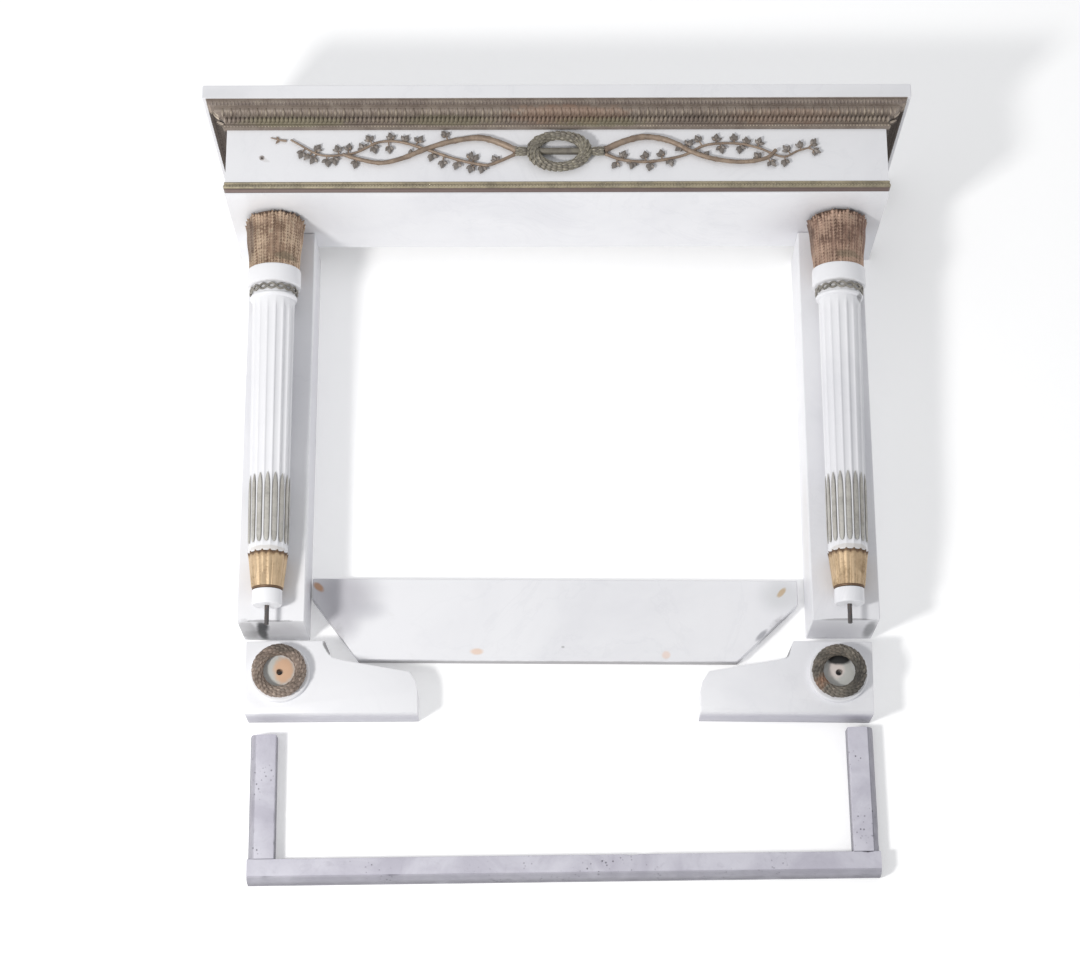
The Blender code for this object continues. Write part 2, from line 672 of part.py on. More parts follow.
def make_husks(group, column, bronze, word):
    """Flat pointed bronze husks fill the lower ends of the flutes, one to a flute."""
    half = HUSK_LENGTH / 2
    profile = [(-half, 0.08), (-half + 0.006, 0.70), (-half + 0.018, 1.0), (half - 0.026, 1.0),
               (half - 0.010, 0.65), (half, 0.08)]
    sides = 4
    rings = []
    for height, share in profile:
        angles = [2 * math.pi * index / sides for index in range(sides)]
        rings.append([(share * HUSK_DEPTH * math.cos(a), share * HUSK_WIDTH * math.sin(a), height)
                      for a in angles])
    middle = HUSK_TOP - half
    slope = math.atan((SHAFT_RADIUS_TOP - SHAFT_RADIUS_FOOT) / (SHAFT_TOP - FERRULE_TOP))
    reach = shaft_radius(middle) - FLUTE_DEPTH + HUSK_DEPTH + 2 * GAP
    for index in range(HUSKS):
        angle = -math.pi / 2 + 2 * math.pi * (index - HUSKS // 2) / FLUTES
        husk = place(f"husk_{word}_{index + 1}", lofted_mesh(rings), group, column,
                     (reach * math.cos(angle), reach * math.sin(angle), middle), (0, slope, angle))
        dress(husk, bronze)


def make_pin(group, column, iron, word):
    """The iron dowel stands in a drilled hole in the column's foot and sticks out of it."""
    edge = 0.001
    top = COLUMN_FOOT + PIN_HOLE - edge
    profile = [
        (0, top), (PIN_RADIUS, top), (PIN_RADIUS, PIN_END + edge), (PIN_RADIUS - edge, PIN_END), (0, PIN_END)]
    pin = turned(group, f"iron_pin_{word}", profile, 12, column)
    dress(pin, iron)


def make_columns(group, cutters, layout, surfaces):
    """Each quiver column lies before its jamb on its crown and its ferrule, up against the soffit."""
    for word, (foot_x, turn) in COLUMN_FEET.items():
        column = bpy.data.objects.new(f"column_axis_{word}", None)
        column.parent = layout
        column.location = (foot_x, 0, COLUMN_Z)
        column.rotation_euler = (COLUMN_LEAN - math.pi / 2, 0, turn)
        group.objects.link(column)
        shaft = place(f"column_shaft_{word}", lofted_mesh(column_rings()), group, column)
        hole = turned(cutters, f"foot_hole_{word}", [
            (0, COLUMN_FOOT + PIN_HOLE), (PIN_RADIUS + GAP, COLUMN_FOOT + PIN_HOLE),
            (PIN_RADIUS + GAP, COLUMN_FOOT - OVERRUN), (0, COLUMN_FOOT - OVERRUN)], 12, column)
        combine(shaft, "DIFFERENCE", hole)
        dress(shaft, surfaces["marble"])
        make_feather_crown(group, column, surfaces["feather"], word)
        make_guilloche(group, column, surfaces["dark_bronze"], word)
        make_husks(group, column, surfaces["husk"], word)
        make_ferrule(group, column, surfaces["gilt"], word)
        make_pin(group, column, surfaces["iron"], word)


def plinth_outline(side):
    """The plinth from above: straight at the back and front, with a shoulder and a slanting edge."""
    points = [(0, 0), (0.153, 0), (0.167, -0.033), (0.185, -0.0385), (0.318, -0.0625), (0.331, -0.083),
              (0.3345, -0.100), (0.3345, -PLINTH_DEPTH), (0, -PLINTH_DEPTH)]
    return [(-side * x, y) for x, y in points]


def make_plinths(group, cutters, layout, surfaces):
    """Each plinth carries a raised round seat, drilled for the pin, and a laurel ring round it."""
    for side, word in ((-1, "left"), (1, "right")):
        corner = bpy.data.objects.new(f"plinth_corner_{word}", None)
        corner.parent = layout
        corner.location = (*PLINTH_CORNERS[word][:2], 0)
        corner.rotation_euler = (0, 0, PLINTH_CORNERS[word][2])
        group.objects.link(corner)
        plinth = place(f"plinth_{word}", slab_mesh(plinth_outline(side), PLINTH_HEIGHT), group, corner)
        spot = (-side * SEAT_PLACE[0], SEAT_PLACE[1], PLINTH_HEIGHT)
        seat = turned(cutters, f"seat_{word}", [
            (0, SEAT_HEIGHT), (SEAT_RADIUS - SEAT_EDGE, SEAT_HEIGHT), (SEAT_RADIUS, SEAT_HEIGHT - SEAT_EDGE),
            (SEAT_RADIUS, -OVERRUN), (0, -OVERRUN)], 32, corner, spot)
        combine(plinth, "UNION", seat)
        high = SEAT_HEIGHT + OVERRUN
        low = SEAT_HEIGHT - SEAT_HOLE_DEPTH
        hole = turned(cutters, f"pin_hole_{word}", [
            (0, high), (SEAT_HOLE_RADIUS, high), (SEAT_HOLE_RADIUS, low), (0, low)], 12, corner, spot)
        combine(plinth, "DIFFERENCE", hole)
        dress(plinth, surfaces["marble"])
        bpy.ops.mesh.primitive_torus_add(
            major_radius=RING_RADIUS, minor_radius=RING_THICK, major_segments=24, minor_segments=8)
        ring = bpy.context.object
        mesh = ring.data
        bpy.data.objects.remove(ring)
        height = PLINTH_HEIGHT + SEAT_HEIGHT + GAP + RING_THICK
        ring = place(f"laurel_ring_{word}", mesh, group, corner, (spot[0], spot[1], height))
        dress(ring, surfaces["dark_bronze"])


def make_slab(group, layout, marble):
    """The hearth slab lies on the floor between the jambs, wide behind and narrow in front."""
    left, right = SLAB_SIDES
    left_end, right_end = SLAB_ENDS
    left_corner, right_corner = SLAB_FRONT_CORNERS
    outline = [(left, SLAB_BACK), (left, SLAB_BACK - left_end), (left_corner, SLAB_FRONT),
               (right_corner, SLAB_FRONT), (right, SLAB_BACK - right_end), (right, SLAB_BACK)]
    slab = place("hearth_slab", slab_mesh(outline, SLAB_THICK), group, layout, (SLAB_X, 0, 0),
                 (0, 0, SLAB_TURN))
    soften(slab, EDGE_WEAR)
    dress(slab, marble)


def bar_section(width):
    """A bar's section: flat top, a small bevel inside, and a hollow moulding down the outer side."""
    steps = 4
    reach, drop = BAR_MOULDING
    fillet = 0.003
    step_in = 0.001
    points = [(0, 0), (width, 0), (width, BAR_HEIGHT - drop)]
    for step in range(steps + 1):
        angle = math.pi / 2 * step / steps
        points.append((width - step_in - reach * (1 - math.cos(angle)),
                       BAR_HEIGHT - drop + fillet + (drop - 2 * fillet) * math.sin(angle)))
    points += [
        (width - step_in - reach, BAR_HEIGHT), (BAR_CHAMFER, BAR_HEIGHT), (0, BAR_HEIGHT - BAR_CHAMFER)]
    return points


def make_bars(group, layout, marble):
    """Three moulded bars: the front one runs full width, the side ones butt against it."""
    corner = bpy.data.objects.new("hearth_corner", None)
    corner.parent = layout
    corner.location = (FRAME_X, FRAME_Y, 0)
    corner.rotation_euler = (0, 0, FRAME_TURN)
    group.objects.link(corner)
    quarter = math.pi / 2
    front = place("hearth_bar_front", slab_mesh(bar_section(FRONT_BAR_WIDTH), FRAME_WIDTH), group, corner,
                  (FRAME_WIDTH / 2, 0, 0), (quarter, 0, -quarter))
    left = place("hearth_bar_left", slab_mesh(bar_section(BAR_WIDTH), SIDE_BAR_LENGTH), group, corner,
                 (-FRAME_WIDTH / 2 + BAR_WIDTH, GAP, 0), (quarter, 0, math.pi))
    mirrored = [(-x, y) for x, y in bar_section(BAR_WIDTH)]
    right = place("hearth_bar_right", slab_mesh(mirrored, SIDE_BAR_LENGTH), group, corner,
                  (FRAME_WIDTH / 2 - BAR_WIDTH, GAP, 0), (quarter, 0, math.pi))
    for bar in (front, left, right):
        dress(bar, marble)


def main():
    """Builds the whole chimneypiece."""
    for item in list(bpy.data.objects):
        bpy.data.objects.remove(item)
    group = make_collection("mantelpiece")
    cutters = make_collection("cutters")
    layout = bpy.data.objects.new("layout", None)
    layout.location = (0, LAYOUT_Y, 0)
    group.objects.link(layout)
    surfaces = {
        "marble": make_material("white_marble", (0.86, 0.86, 0.88), 0.35),
        "hearth": make_material("grey_marble", (0.62, 0.60, 0.68), 0.45),
        "cornice": make_material("brown_bronze", (0.25, 0.17, 0.10), 0.45, 0.8),
        "dark_bronze": make_material("dark_bronze", (0.10, 0.07, 0.05), 0.5, 0.8),
        "feather": make_material("feather_bronze", (0.42, 0.26, 0.13), 0.4, 0.8),
        "gilt": make_material("gilt_bronze", (0.60, 0.40, 0.20), 0.35, 0.9),
        "husk": make_material("husk_bronze", (0.16, 0.15, 0.13), 0.5, 0.8),
        "iron": make_material("iron", (0.03, 0.03, 0.03), 0.7, 0.6),
    }
    make_shelf(group, layout, surfaces["marble"])
    make_cornice(group, layout, surfaces["cornice"])
    make_frieze(group, cutters, layout, surfaces["marble"])
    make_bead_moulding(group, layout, surfaces["cornice"])
    make_jambs(group, layout, surfaces["marble"])
    make_wreath(group, cutters, layout, surfaces["dark_bronze"])
    make_spray(group, cutters, layout, surfaces["dark_bronze"])
    make_columns(group, cutters, layout, surfaces)
    make_plinths(group, cutters, layout, surfaces)
    make_slab(group, layout, surfaces["marble"])
    make_bars(group, layout, surfaces["hearth"])


main()
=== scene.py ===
import math
import random

import bmesh
import bpy
from mathutils import Matrix, Vector


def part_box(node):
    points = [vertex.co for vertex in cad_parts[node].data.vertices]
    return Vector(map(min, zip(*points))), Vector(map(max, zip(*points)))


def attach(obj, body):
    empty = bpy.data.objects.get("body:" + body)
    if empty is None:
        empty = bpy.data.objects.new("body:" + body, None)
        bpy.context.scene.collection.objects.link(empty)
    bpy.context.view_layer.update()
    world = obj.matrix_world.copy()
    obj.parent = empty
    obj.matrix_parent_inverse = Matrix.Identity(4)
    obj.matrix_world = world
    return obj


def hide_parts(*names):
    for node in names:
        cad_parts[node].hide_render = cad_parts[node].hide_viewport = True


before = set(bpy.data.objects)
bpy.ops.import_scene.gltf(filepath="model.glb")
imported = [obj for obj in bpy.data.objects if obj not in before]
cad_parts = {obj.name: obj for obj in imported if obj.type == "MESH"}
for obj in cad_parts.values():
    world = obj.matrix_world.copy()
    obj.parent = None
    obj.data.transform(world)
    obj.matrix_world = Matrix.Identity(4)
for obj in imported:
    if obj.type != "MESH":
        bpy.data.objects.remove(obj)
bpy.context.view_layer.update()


# Floor, light and camera
# The pieces lie on a pale studio floor. A soft light stands high in front of them on the left, and a weak one
# behind the mantel's head. The camera looks down on them steeply, from the side of the hearth frame.
bpy.ops.object.select_all(action="DESELECT")
bpy.ops.mesh.primitive_plane_add(size=40, location=(0, 0, -0.0006))
floor = bpy.context.object
floor.name = "studio_floor"
floor_paint = bpy.data.materials.new("studio_floor")
floor_paint.use_nodes = True
for socket, value in (("Base Color", (0.95, 0.95, 0.95, 1)), ("Roughness", 0.9), ("Specular IOR Level", 0.1),
                      ("Emission Color", (1, 1, 1, 1)), ("Emission Strength", 0.22)):
    floor_paint.node_tree.nodes["Principled BSDF"].inputs[socket].default_value = value
floor.data.materials.append(floor_paint)

sky = bpy.data.worlds.new("studio")
sky.use_nodes = True
sky.node_tree.nodes["Background"].inputs["Color"].default_value = (0.97, 0.98, 1.0, 1)
sky.node_tree.nodes["Background"].inputs["Strength"].default_value = 0.57
bpy.context.scene.world = sky
for name, spot, width, power, tint in (
        ("light_front", (-2.1, -1.5, 3.0), 0.5, 82, (1.0, 0.99, 0.97)),
        ("light_head", (0.6, 2.6, 3.0), 2.0, 6, (1.0, 1.0, 1.0))):
    bpy.ops.object.light_add(type="AREA", location=spot)
    light = bpy.context.object
    light.name = name
    light.data.size = width
    light.data.energy = power
    light.data.color = tint
    light.rotation_euler = (Vector((0, 0, 0)) - Vector(spot)).to_track_quat("-Z", "Y").to_euler()

bpy.ops.object.camera_add(location=(-0.0403, -1.5515, 4.7512))
camera = bpy.context.object
turned = (Matrix.Rotation(math.radians(-0.2001), 3, "Z") @ Matrix.Rotation(math.radians(18.6035), 3, "X")
          @ Matrix.Rotation(math.radians(0.044), 3, "Z"))
camera.rotation_euler = turned.to_euler()
camera.data.lens = 82.66
camera.data.sensor_width = 36
camera.data.sensor_fit = "HORIZONTAL"
camera.data.clip_end = 100
bpy.context.scene.camera = camera
bpy.context.scene.view_settings.view_transform = "Standard"


# Hearth slab
# One sawn slab of white marble, lying loose between the jambs. Soft grey patches at its back left corner, beside
# the left jamb, are painted shade with some grey mottling, and dry orange glue shows at the back corners where it was
# bedded. Its thin end faces and its front face are darkened with painted shade.
class Wire:
    """One socket of a material: arithmetic on it adds the Math nodes, and node() adds any other node."""

    def __init__(self, tree, socket=None):
        self.tree = tree
        self.socket = socket

    def node(self, kind, settings=None, values=None, output=0):
        made = self.tree.nodes.new("ShaderNode" + kind)
        for name, value in (settings or {}).items():
            setattr(made, name, value)
        for name, value in (values or {}).items():
            if isinstance(value, Wire):
                self.tree.links.new(value.socket, made.inputs[name])
            else:
                made.inputs[name].default_value = value
        return Wire(self.tree, made.outputs[output])

    def maths(self, operation, first, second=0.0):
        return self.node("Math", {"operation": operation}, {0: first, 1: second})

    def __add__(self, other):
        return self.maths("ADD", self, other)

    def __radd__(self, other):
        return self.maths("ADD", other, self)

    def __sub__(self, other):
        return self.maths("SUBTRACT", self, other)

    def __rsub__(self, other):
        return self.maths("SUBTRACT", other, self)

    def __mul__(self, other):
        return self.maths("MULTIPLY", self, other)

    def __rmul__(self, other):
        return self.maths("MULTIPLY", other, self)

    def smooth(self, low, high):
        """0 below low, 1 above high, and a soft step between them."""
        return self.node("MapRange", {"interpolation_type": "SMOOTHSTEP"}, {0: self, 1: low, 2: high})

    def size(self):
        """The value without its sign."""
        return self.maths("ABSOLUTE", self)

    def most(self, other):
        return self.maths("MAXIMUM", self, other)

    def mixed(self, first, second):
        """A colour that goes from the first to the second as this value goes from 0 to 1."""
        return self.node("Mix", {"data_type": "RGBA"}, {0: self, 6: first, 7: second}, 2)


def new_finish(name):
    """Starts a material; returns it, a wire to build it with, its place on the object and its shader."""
    finish = bpy.data.materials.new(name)
    finish.use_nodes = True
    wire = Wire(finish.node_tree)
    return finish, wire, wire.node("TexCoord", output=3), finish.node_tree.nodes["Principled BSDF"]


def clouds(place, scale, detail=4.0, roughness=0.55, distortion=0.0):
    """Noise at a scale, from 0 to 1."""
    return place.node("TexNoise", None, {"Vector": place, "Scale": scale, "Detail": detail,
                                         "Roughness": roughness, "Distortion": distortion})


def patch(place, centre, reach, turn, ragged, soft=0.0):
    """1 inside an oval patch with a ragged or a soft edge, 0 outside it."""
    inside = place.node("Mapping", {"vector_type": "TEXTURE"},
                        {"Vector": place, "Location": centre, "Rotation": (0, 0, turn), "Scale": reach})
    away = inside.node("VectorMath", {"operation": "LENGTH"}, {0: inside}, 1)
    return (away + (clouds(place, 60.0, 5.0, 0.65) - 0.5) * (2.4 * ragged)).smooth(1.0, 0.55 - 0.45 * soft)


def join_shader(finish, shader, colour, roughness, relief, depth):
    """Joins the colour, the roughness and the relief's bump to the shader."""
    links = finish.node_tree.links
    links.new(colour.socket, shader.inputs["Base Color"])
    links.new(roughness.socket, shader.inputs["Roughness"])
    bump = relief.node("Bump", None, {"Height": relief, "Strength": 1.0, "Distance": depth})
    links.new(bump.socket, shader.inputs["Normal"])


def marble(name, marks):
    """Polished white marble, softly clouded, with very faint veins. A mark is a patch of another colour:
    (centre, reach, turn, ragged, strength, colour). A mark that is hardly ragged has a soft edge instead."""
    finish, wire, place, shader = new_finish(name)
    cloud = clouds(place, 3.2, 5.0, 0.6, 0.4)
    colour = cloud.smooth(0.42, 0.75).mixed((0.84, 0.84, 0.862, 1), (0.77, 0.77, 0.80, 1))
    vein = (clouds(place, 4.1, 6.0, 0.62, 1.1) - 0.5).size()
    thin = vein.smooth(0.022, 0.0) * clouds(place, 1.7, 2.0).smooth(0.42, 0.62)
    colour = (thin * 0.07).mixed(colour, (0.50, 0.51, 0.56, 1))
    grime = clouds(place, 26.0, 7.0, 0.7, 0.3).smooth(0.60, 0.82)
    colour = (grime * 0.16).mixed(colour, (0.55, 0.53, 0.50, 1))
    for centre, reach, turn, ragged, strength, tint in marks:
        spread = patch(place, centre, reach, turn, ragged, soft=max(0.0, 1 - 5 * ragged))
        colour = (spread * strength).mixed(colour, tint)
    grain = clouds(place, 900.0, 3.0)
    wear = clouds(place, 42.0, 6.0, 0.65)
    roughness = 0.26 + wear * 0.22 + grime * 0.15
    join_shader(finish, shader, colour, roughness, grain * 0.25 + wear * 0.75, 0.0004)
    shader.inputs["IOR"].default_value = 1.5
    return finish


def redress(node, finish):
    """Gives a CAD node, whose shape stays, its real surface."""
    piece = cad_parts[node]
    if not piece.data.materials:
        piece.data.materials.append(finish)
    for slot in piece.material_slots:
        slot.material = finish


foot_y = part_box("jamb_left")[0].y
glue = (0.52, 0.25, 0.10, 1)
mottle_and_shade = (0.46, 0.45, 0.485, 1)
redress("hearth_slab", marble("slab_marble", [
    # Painted shade: soft grey patches at the back left corner, beside the left jamb, with some grey mottling.
    ((-0.425, foot_y + 0.085, 0.03), (0.105, 0.085, 0.06), -0.1, 0.03, 0.85, mottle_and_shade),
    ((-0.430, foot_y + 0.030, 0.03), (0.060, 0.050, 0.06), -0.9, 0.04, 0.60, mottle_and_shade),
    ((-0.375, foot_y + 0.053, 0.03), (0.055, 0.028, 0.06), 0.0, 0.02, 0.30, (0.42, 0.42, 0.46, 1)),
    ((0.445, foot_y + 0.080, 0.03), (0.065, 0.052, 0.06), 0.0, 0.03, 0.55, (0.55, 0.56, 0.57, 1)),
    # Painted shade: a dark line along the right end's slanted edge.
    ((0.401, foot_y + 0.000, 0.03), (0.022, 0.007, 0.06), 0.76, 0.12, 0.75, (0.28, 0.28, 0.31, 1)),
    ((-0.474, foot_y + 0.101, 0.03), (0.0165, 0.0085, 0.02), -0.75, 0.15, 0.80, glue),
    ((0.443, foot_y + 0.087, 0.03), (0.0150, 0.0070, 0.02), 0.85, 0.20, 0.75, (0.50, 0.34, 0.16, 1)),
    ((-0.1595, foot_y - 0.0320, 0.03), (0.0170, 0.0085, 0.02), 0.0, 0.15, 0.60, (0.80, 0.52, 0.34, 1)),
    ((0.2120, foot_y - 0.0400, 0.03), (0.0110, 0.0105, 0.02), 0.3, 0.15, 0.45, (0.80, 0.52, 0.36, 1)),
    ((0.0095, foot_y - 0.0231, 0.03), (0.0045, 0.0030, 0.01), 0.0, 0.15, 0.5, (0.22, 0.21, 0.21, 1)),
    # Painted shade on the thin faces: the left end, the right end and the whole front, low down.
    ((-0.440, foot_y + 0.012, 0.012), (0.050, 0.030, 0.025), -0.9, 0.2, 0.50, (0.30, 0.29, 0.30, 1)),
    ((0.430, foot_y + 0.020, 0.010), (0.062, 0.020, 0.025), 0.76, 0.2, 0.75, (0.20, 0.19, 0.21, 1)),
    ((0.0, foot_y - 0.0520, 0.006), (4.0, 0.012, 0.025), 0.0, 0.15, 0.80, (0.20, 0.19, 0.20, 1)),
]))


# Plinths
# Two blocks of white marble with a shoulder towards the hearth. Each carries a turned round seat, drilled for
# the column's iron pin. The floor of the seat is stained by the bronze ring. Painted shade tints the front face,
# darker along its foot, and a painted shadow lies at each shoulder.
def begin():
    """Leaves edit mode and lets go of all that is selected."""
    if bpy.context.object and bpy.context.object.mode != "OBJECT":
        bpy.ops.object.mode_set(mode="OBJECT")
    bpy.ops.object.select_all(action="DESELECT")


def take(piece):
    """Selects one object alone and makes it the active one."""
    begin()
    piece.select_set(True)
    bpy.context.view_layer.objects.active = piece


def pull(move):
    """Extrudes what is selected, and puts each new corner where move() says."""
    bpy.ops.mesh.extrude_region()
    mesh = bpy.context.edit_object.data
    cage = bmesh.from_edit_mesh(mesh)
    for corner in cage.verts:
        if corner.select:
            corner.co = move(corner.co)
    bmesh.update_edit_mesh(mesh)


def outline(corners):
    """Adds a flat face with the given corners and leaves it selected in edit mode."""
    begin()
    bpy.ops.mesh.primitive_circle_add(vertices=len(corners), radius=1, fill_type="NGON")
    piece = bpy.context.object
    for corner, spot in zip(piece.data.vertices, corners):
        corner.co = spot
    bpy.ops.object.mode_set(mode="EDIT")
    bpy.ops.mesh.select_all(action="SELECT")
    return piece


def lathe(profile, sides, fill="NGON"):
    """Turns a profile of (radius, height) about Z, by drawing a disc or a bare ring up step by step."""
    begin()
    radius, height = profile[0]
    bpy.ops.mesh.primitive_circle_add(vertices=sides, radius=radius, fill_type=fill)
    piece = bpy.context.object
    for corner in piece.data.vertices:
        corner.co.z = height
    bpy.ops.object.mode_set(mode="EDIT")
    bpy.ops.mesh.select_all(action="SELECT")
    for (before, _), (after, height) in zip(profile, profile[1:]):
        pull(lambda co, k=after / before, z=height: Vector((co.x * k, co.y * k, z)))
    bpy.ops.object.mode_set(mode="OBJECT")
    return piece


def apply_all(piece, matrix=None):
    """Applies the modifiers and the place, so that the finished object sits at the origin."""
    take(piece)
    for modifier in list(piece.modifiers):
        bpy.ops.object.modifier_apply(modifier=modifier.name)
    if matrix is not None:
        piece.matrix_world = matrix @ piece.matrix_world
    bpy.ops.object.transform_apply(location=True, rotation=True, scale=True)


def close_up(piece, angle):
    """Welds the doubles, turns the faces outwards and shades smooth up to an angle in degrees."""
    take(piece)
    bpy.ops.object.mode_set(mode="EDIT")
    bpy.ops.mesh.select_all(action="SELECT")
    bpy.ops.mesh.remove_doubles(threshold=0.00002)
    bpy.ops.mesh.normals_make_consistent(inside=False)
    bpy.ops.object.mode_set(mode="OBJECT")
    bpy.ops.object.shade_smooth_by_angle(angle=math.radians(angle))


def carve(piece, operation, tool):
    """Joins or cuts with another body, which is then thrown away."""
    take(piece)
    change = piece.modifiers.new("carve", "BOOLEAN")
    change.operation = operation
    change.solver = "EXACT"
    change.object = tool
    bpy.ops.object.modifier_apply(modifier=change.name)
    bpy.data.objects.remove(tool)


def ease_edges(piece, width):
    """Takes the sharpness off the edges."""
    bevel = piece.modifiers.new("edges", "BEVEL")
    bevel.width = width
    bevel.segments = 2
    bevel.limit_method = "ANGLE"
    bevel.angle_limit = math.radians(40)


def next_to(spot, x, y):
    """The place of a mark that is a little to one side of a spot."""
    return spot.x + x, spot.y + y, spot.z


def hand_over(piece, name, finish, node):
    """Names a finished piece, dresses it and lets it stand for its CAD node."""
    piece.name = name
    piece.data.name = name
    piece.data.materials.clear()
    piece.data.materials.append(finish)
    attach(piece, "root")
    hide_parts(node)


plinth_height = 0.078
seat_height = 0.012
seat_spots = {}
# The grey of painted shadows: at each plinth's shoulder and beside the right column's neck.
painted_shadow_grey = (0.16, 0.155, 0.16, 1)
grey_stain = (0.46, 0.46, 0.42, 1)
for word, side, corner_x, corner_y, turn in (
        ("left", -1, -0.608, -0.0225, 0.004), ("right", 1, 0.611, -0.0265, -0.014)):
    stand = Matrix.Translation((corner_x, corner_y + foot_y, 0)) @ Matrix.Rotation(turn, 4, "Z")
    plinth = outline([(-side * x, y, 0) for x, y in (
        (0, 0), (0.153, 0), (0.167, -0.033), (0.185, -0.0385), (0.318, -0.0625), (0.331, -0.083),
        (0.3345, -0.100), (0.3345, -0.1445), (0, -0.1445))])
    pull(lambda co: co + Vector((0, 0, plinth_height)))
    ease_edges(plinth, 0.0016)
    apply_all(plinth)
    close_up(plinth, 40)
    spot = Vector((-side * 0.068, -0.0655, plinth_height))
    seat = lathe([(0.058, -0.006), (0.058, seat_height - 0.0045), (0.0575, seat_height - 0.0020),
                  (0.0560, seat_height - 0.0005), (0.0540, seat_height), (0.0300, seat_height)], 72)
    seat.location = spot
    apply_all(seat)
    close_up(seat, 30)
    carve(plinth, "UNION", seat)
    drill = lathe([(0.006, -0.030), (0.006, 0.03)], 24)
    drill.location = spot
    apply_all(drill)
    close_up(drill, 30)
    carve(plinth, "DIFFERENCE", drill)
    apply_all(plinth, stand)
    close_up(plinth, 35)
    floor_of_seat = stand @ spot + Vector((0, 0, seat_height))
    seat_spots[word] = floor_of_seat
    # Painted shade: the front face is tinted lilac-grey, and darker still along its foot.
    marks = [((0.0, foot_y - 0.172, 0.030), (8.0, 0.014, 0.062), 0.0, 0.08, 0.90, (0.39, 0.38, 0.45, 1)),
             ((0.0, foot_y - 0.172, 0.000), (8.0, 0.020, 0.012), 0.0, 0.10, 0.70, (0.24, 0.24, 0.28, 1)),
             (next_to(floor_of_seat, 0, 0), (0.043, 0.043, 0.02), 0.0, 0.2, 0.8, grey_stain)]
    if word == "left":
        marks += [(next_to(floor_of_seat, 0.008, 0.003), (0.0240, 0.0330, 0.02), 0.0, 0.25, 0.95,
                   (0.66, 0.42, 0.27, 1)),
                  # Painted shadow at the left plinth's shoulder.
                  ((-0.449, foot_y - 0.036, 0.078), (0.0075, 0.0200, 0.03), 0.5, 0.3, 0.85, painted_shadow_grey)]
    else:
        marks += [(next_to(floor_of_seat, -0.006, 0.004), (0.0200, 0.0220, 0.02), 0.0, 0.4, 0.90,
                   (0.74, 0.66, 0.62, 1)),
                  (next_to(floor_of_seat, 0.002, 0.027), (0.032, 0.014, 0.02), 0.0, 0.2, 1.00, (0.02, 0.02, 0.02, 1)),
                  # Painted shadow at the right plinth's shoulder.
                  ((0.447, foot_y - 0.043, 0.078), (0.0060, 0.0200, 0.03), -0.3, 0.3, 0.75, painted_shadow_grey)]
    marks.append((next_to(floor_of_seat, 0, 0), (0.0085, 0.0080, 0.02), 0.0, 0.4, 0.8, (0.14, 0.10, 0.08, 1)))
    finish = marble(f"plinth_marble_{word}", marks)
    hand_over(plinth, f"marble_plinth_{word}", finish, f"plinth_{word}")


# Laurel rings
# A wreath of small overlapping laurel leaves, cast in bronze, lies loose on each seat and goes round the foot of
# the column. The left one is worn brown, and the right one is still nearly black.
def cast(piece, thick, angle):
    """Gives a modelled skin the thickness of a casting."""
    shell = piece.modifiers.new("cast", "SOLIDIFY")
    shell.thickness = thick
    shell.offset = -1
    apply_all(piece)
    close_up(piece, angle)
    return piece


def leaf(length, width, thick, rows=5, cup=0.20, curl=0.10, rib=0.10):
    """A pointed leaf along +Y from the origin, hollowed on each side of its rib and thick enough to cast."""
    begin()
    bpy.ops.mesh.primitive_grid_add(x_subdivisions=4, y_subdivisions=rows, size=1)
    piece = bpy.context.object
    raised = piece.data.attributes.new("raised", "FLOAT", "POINT")
    for corner in piece.data.vertices:
        across = 2 * corner.co.x
        along = corner.co.y + 0.5
        reach = math.sin(math.pi * (0.06 + 0.93 * along) ** 0.85) ** 0.8
        height = width * (cup * (abs(across) ** 2) * -1.0 + rib * (1 - abs(across)) ** 2)
        height += length * curl * math.sin(math.pi * along)
        raised.data[corner.index].value = 1.0 if abs(across) < 0.1 else (0.55 if abs(across) > 0.9 else 0.0)
        corner.co = (across * reach * width / 2, along * length, height)
    return cast(piece, thick, 60)


def ball(radius):
    """A small round berry or bead."""
    begin()
    bpy.ops.mesh.primitive_ico_sphere_add(subdivisions=1, radius=radius)
    piece = bpy.context.object
    raised = piece.data.attributes.new("raised", "FLOAT", "POINT")
    for corner in piece.data.vertices:
        raised.data[corner.index].value = max(0.0, corner.co.z / radius)
    take(piece)
    bpy.ops.object.shade_smooth()
    return piece


def lay_out(model, spots):
    """Copies a modelled form to every spot, each copy with its own mesh, and returns the copies."""
    copies = []
    for spot in spots:
        copy = model.copy()
        copy.data = model.data.copy()
        copy.matrix_world = spot
        bpy.context.collection.objects.link(copy)
        copies.append(copy)
    return copies


def gather(parts):
    """Joins several objects into one piece, whose object sits at the origin."""
    begin()
    for part in parts:
        part.select_set(True)
    bpy.context.view_layer.objects.active = parts[0]
    bpy.ops.object.join()
    bpy.ops.object.transform_apply(location=True, rotation=True, scale=True)
    return bpy.context.object


def away(*models):
    """Removes the models that the copies were taken from."""
    for model in models:
        bpy.data.objects.remove(model)


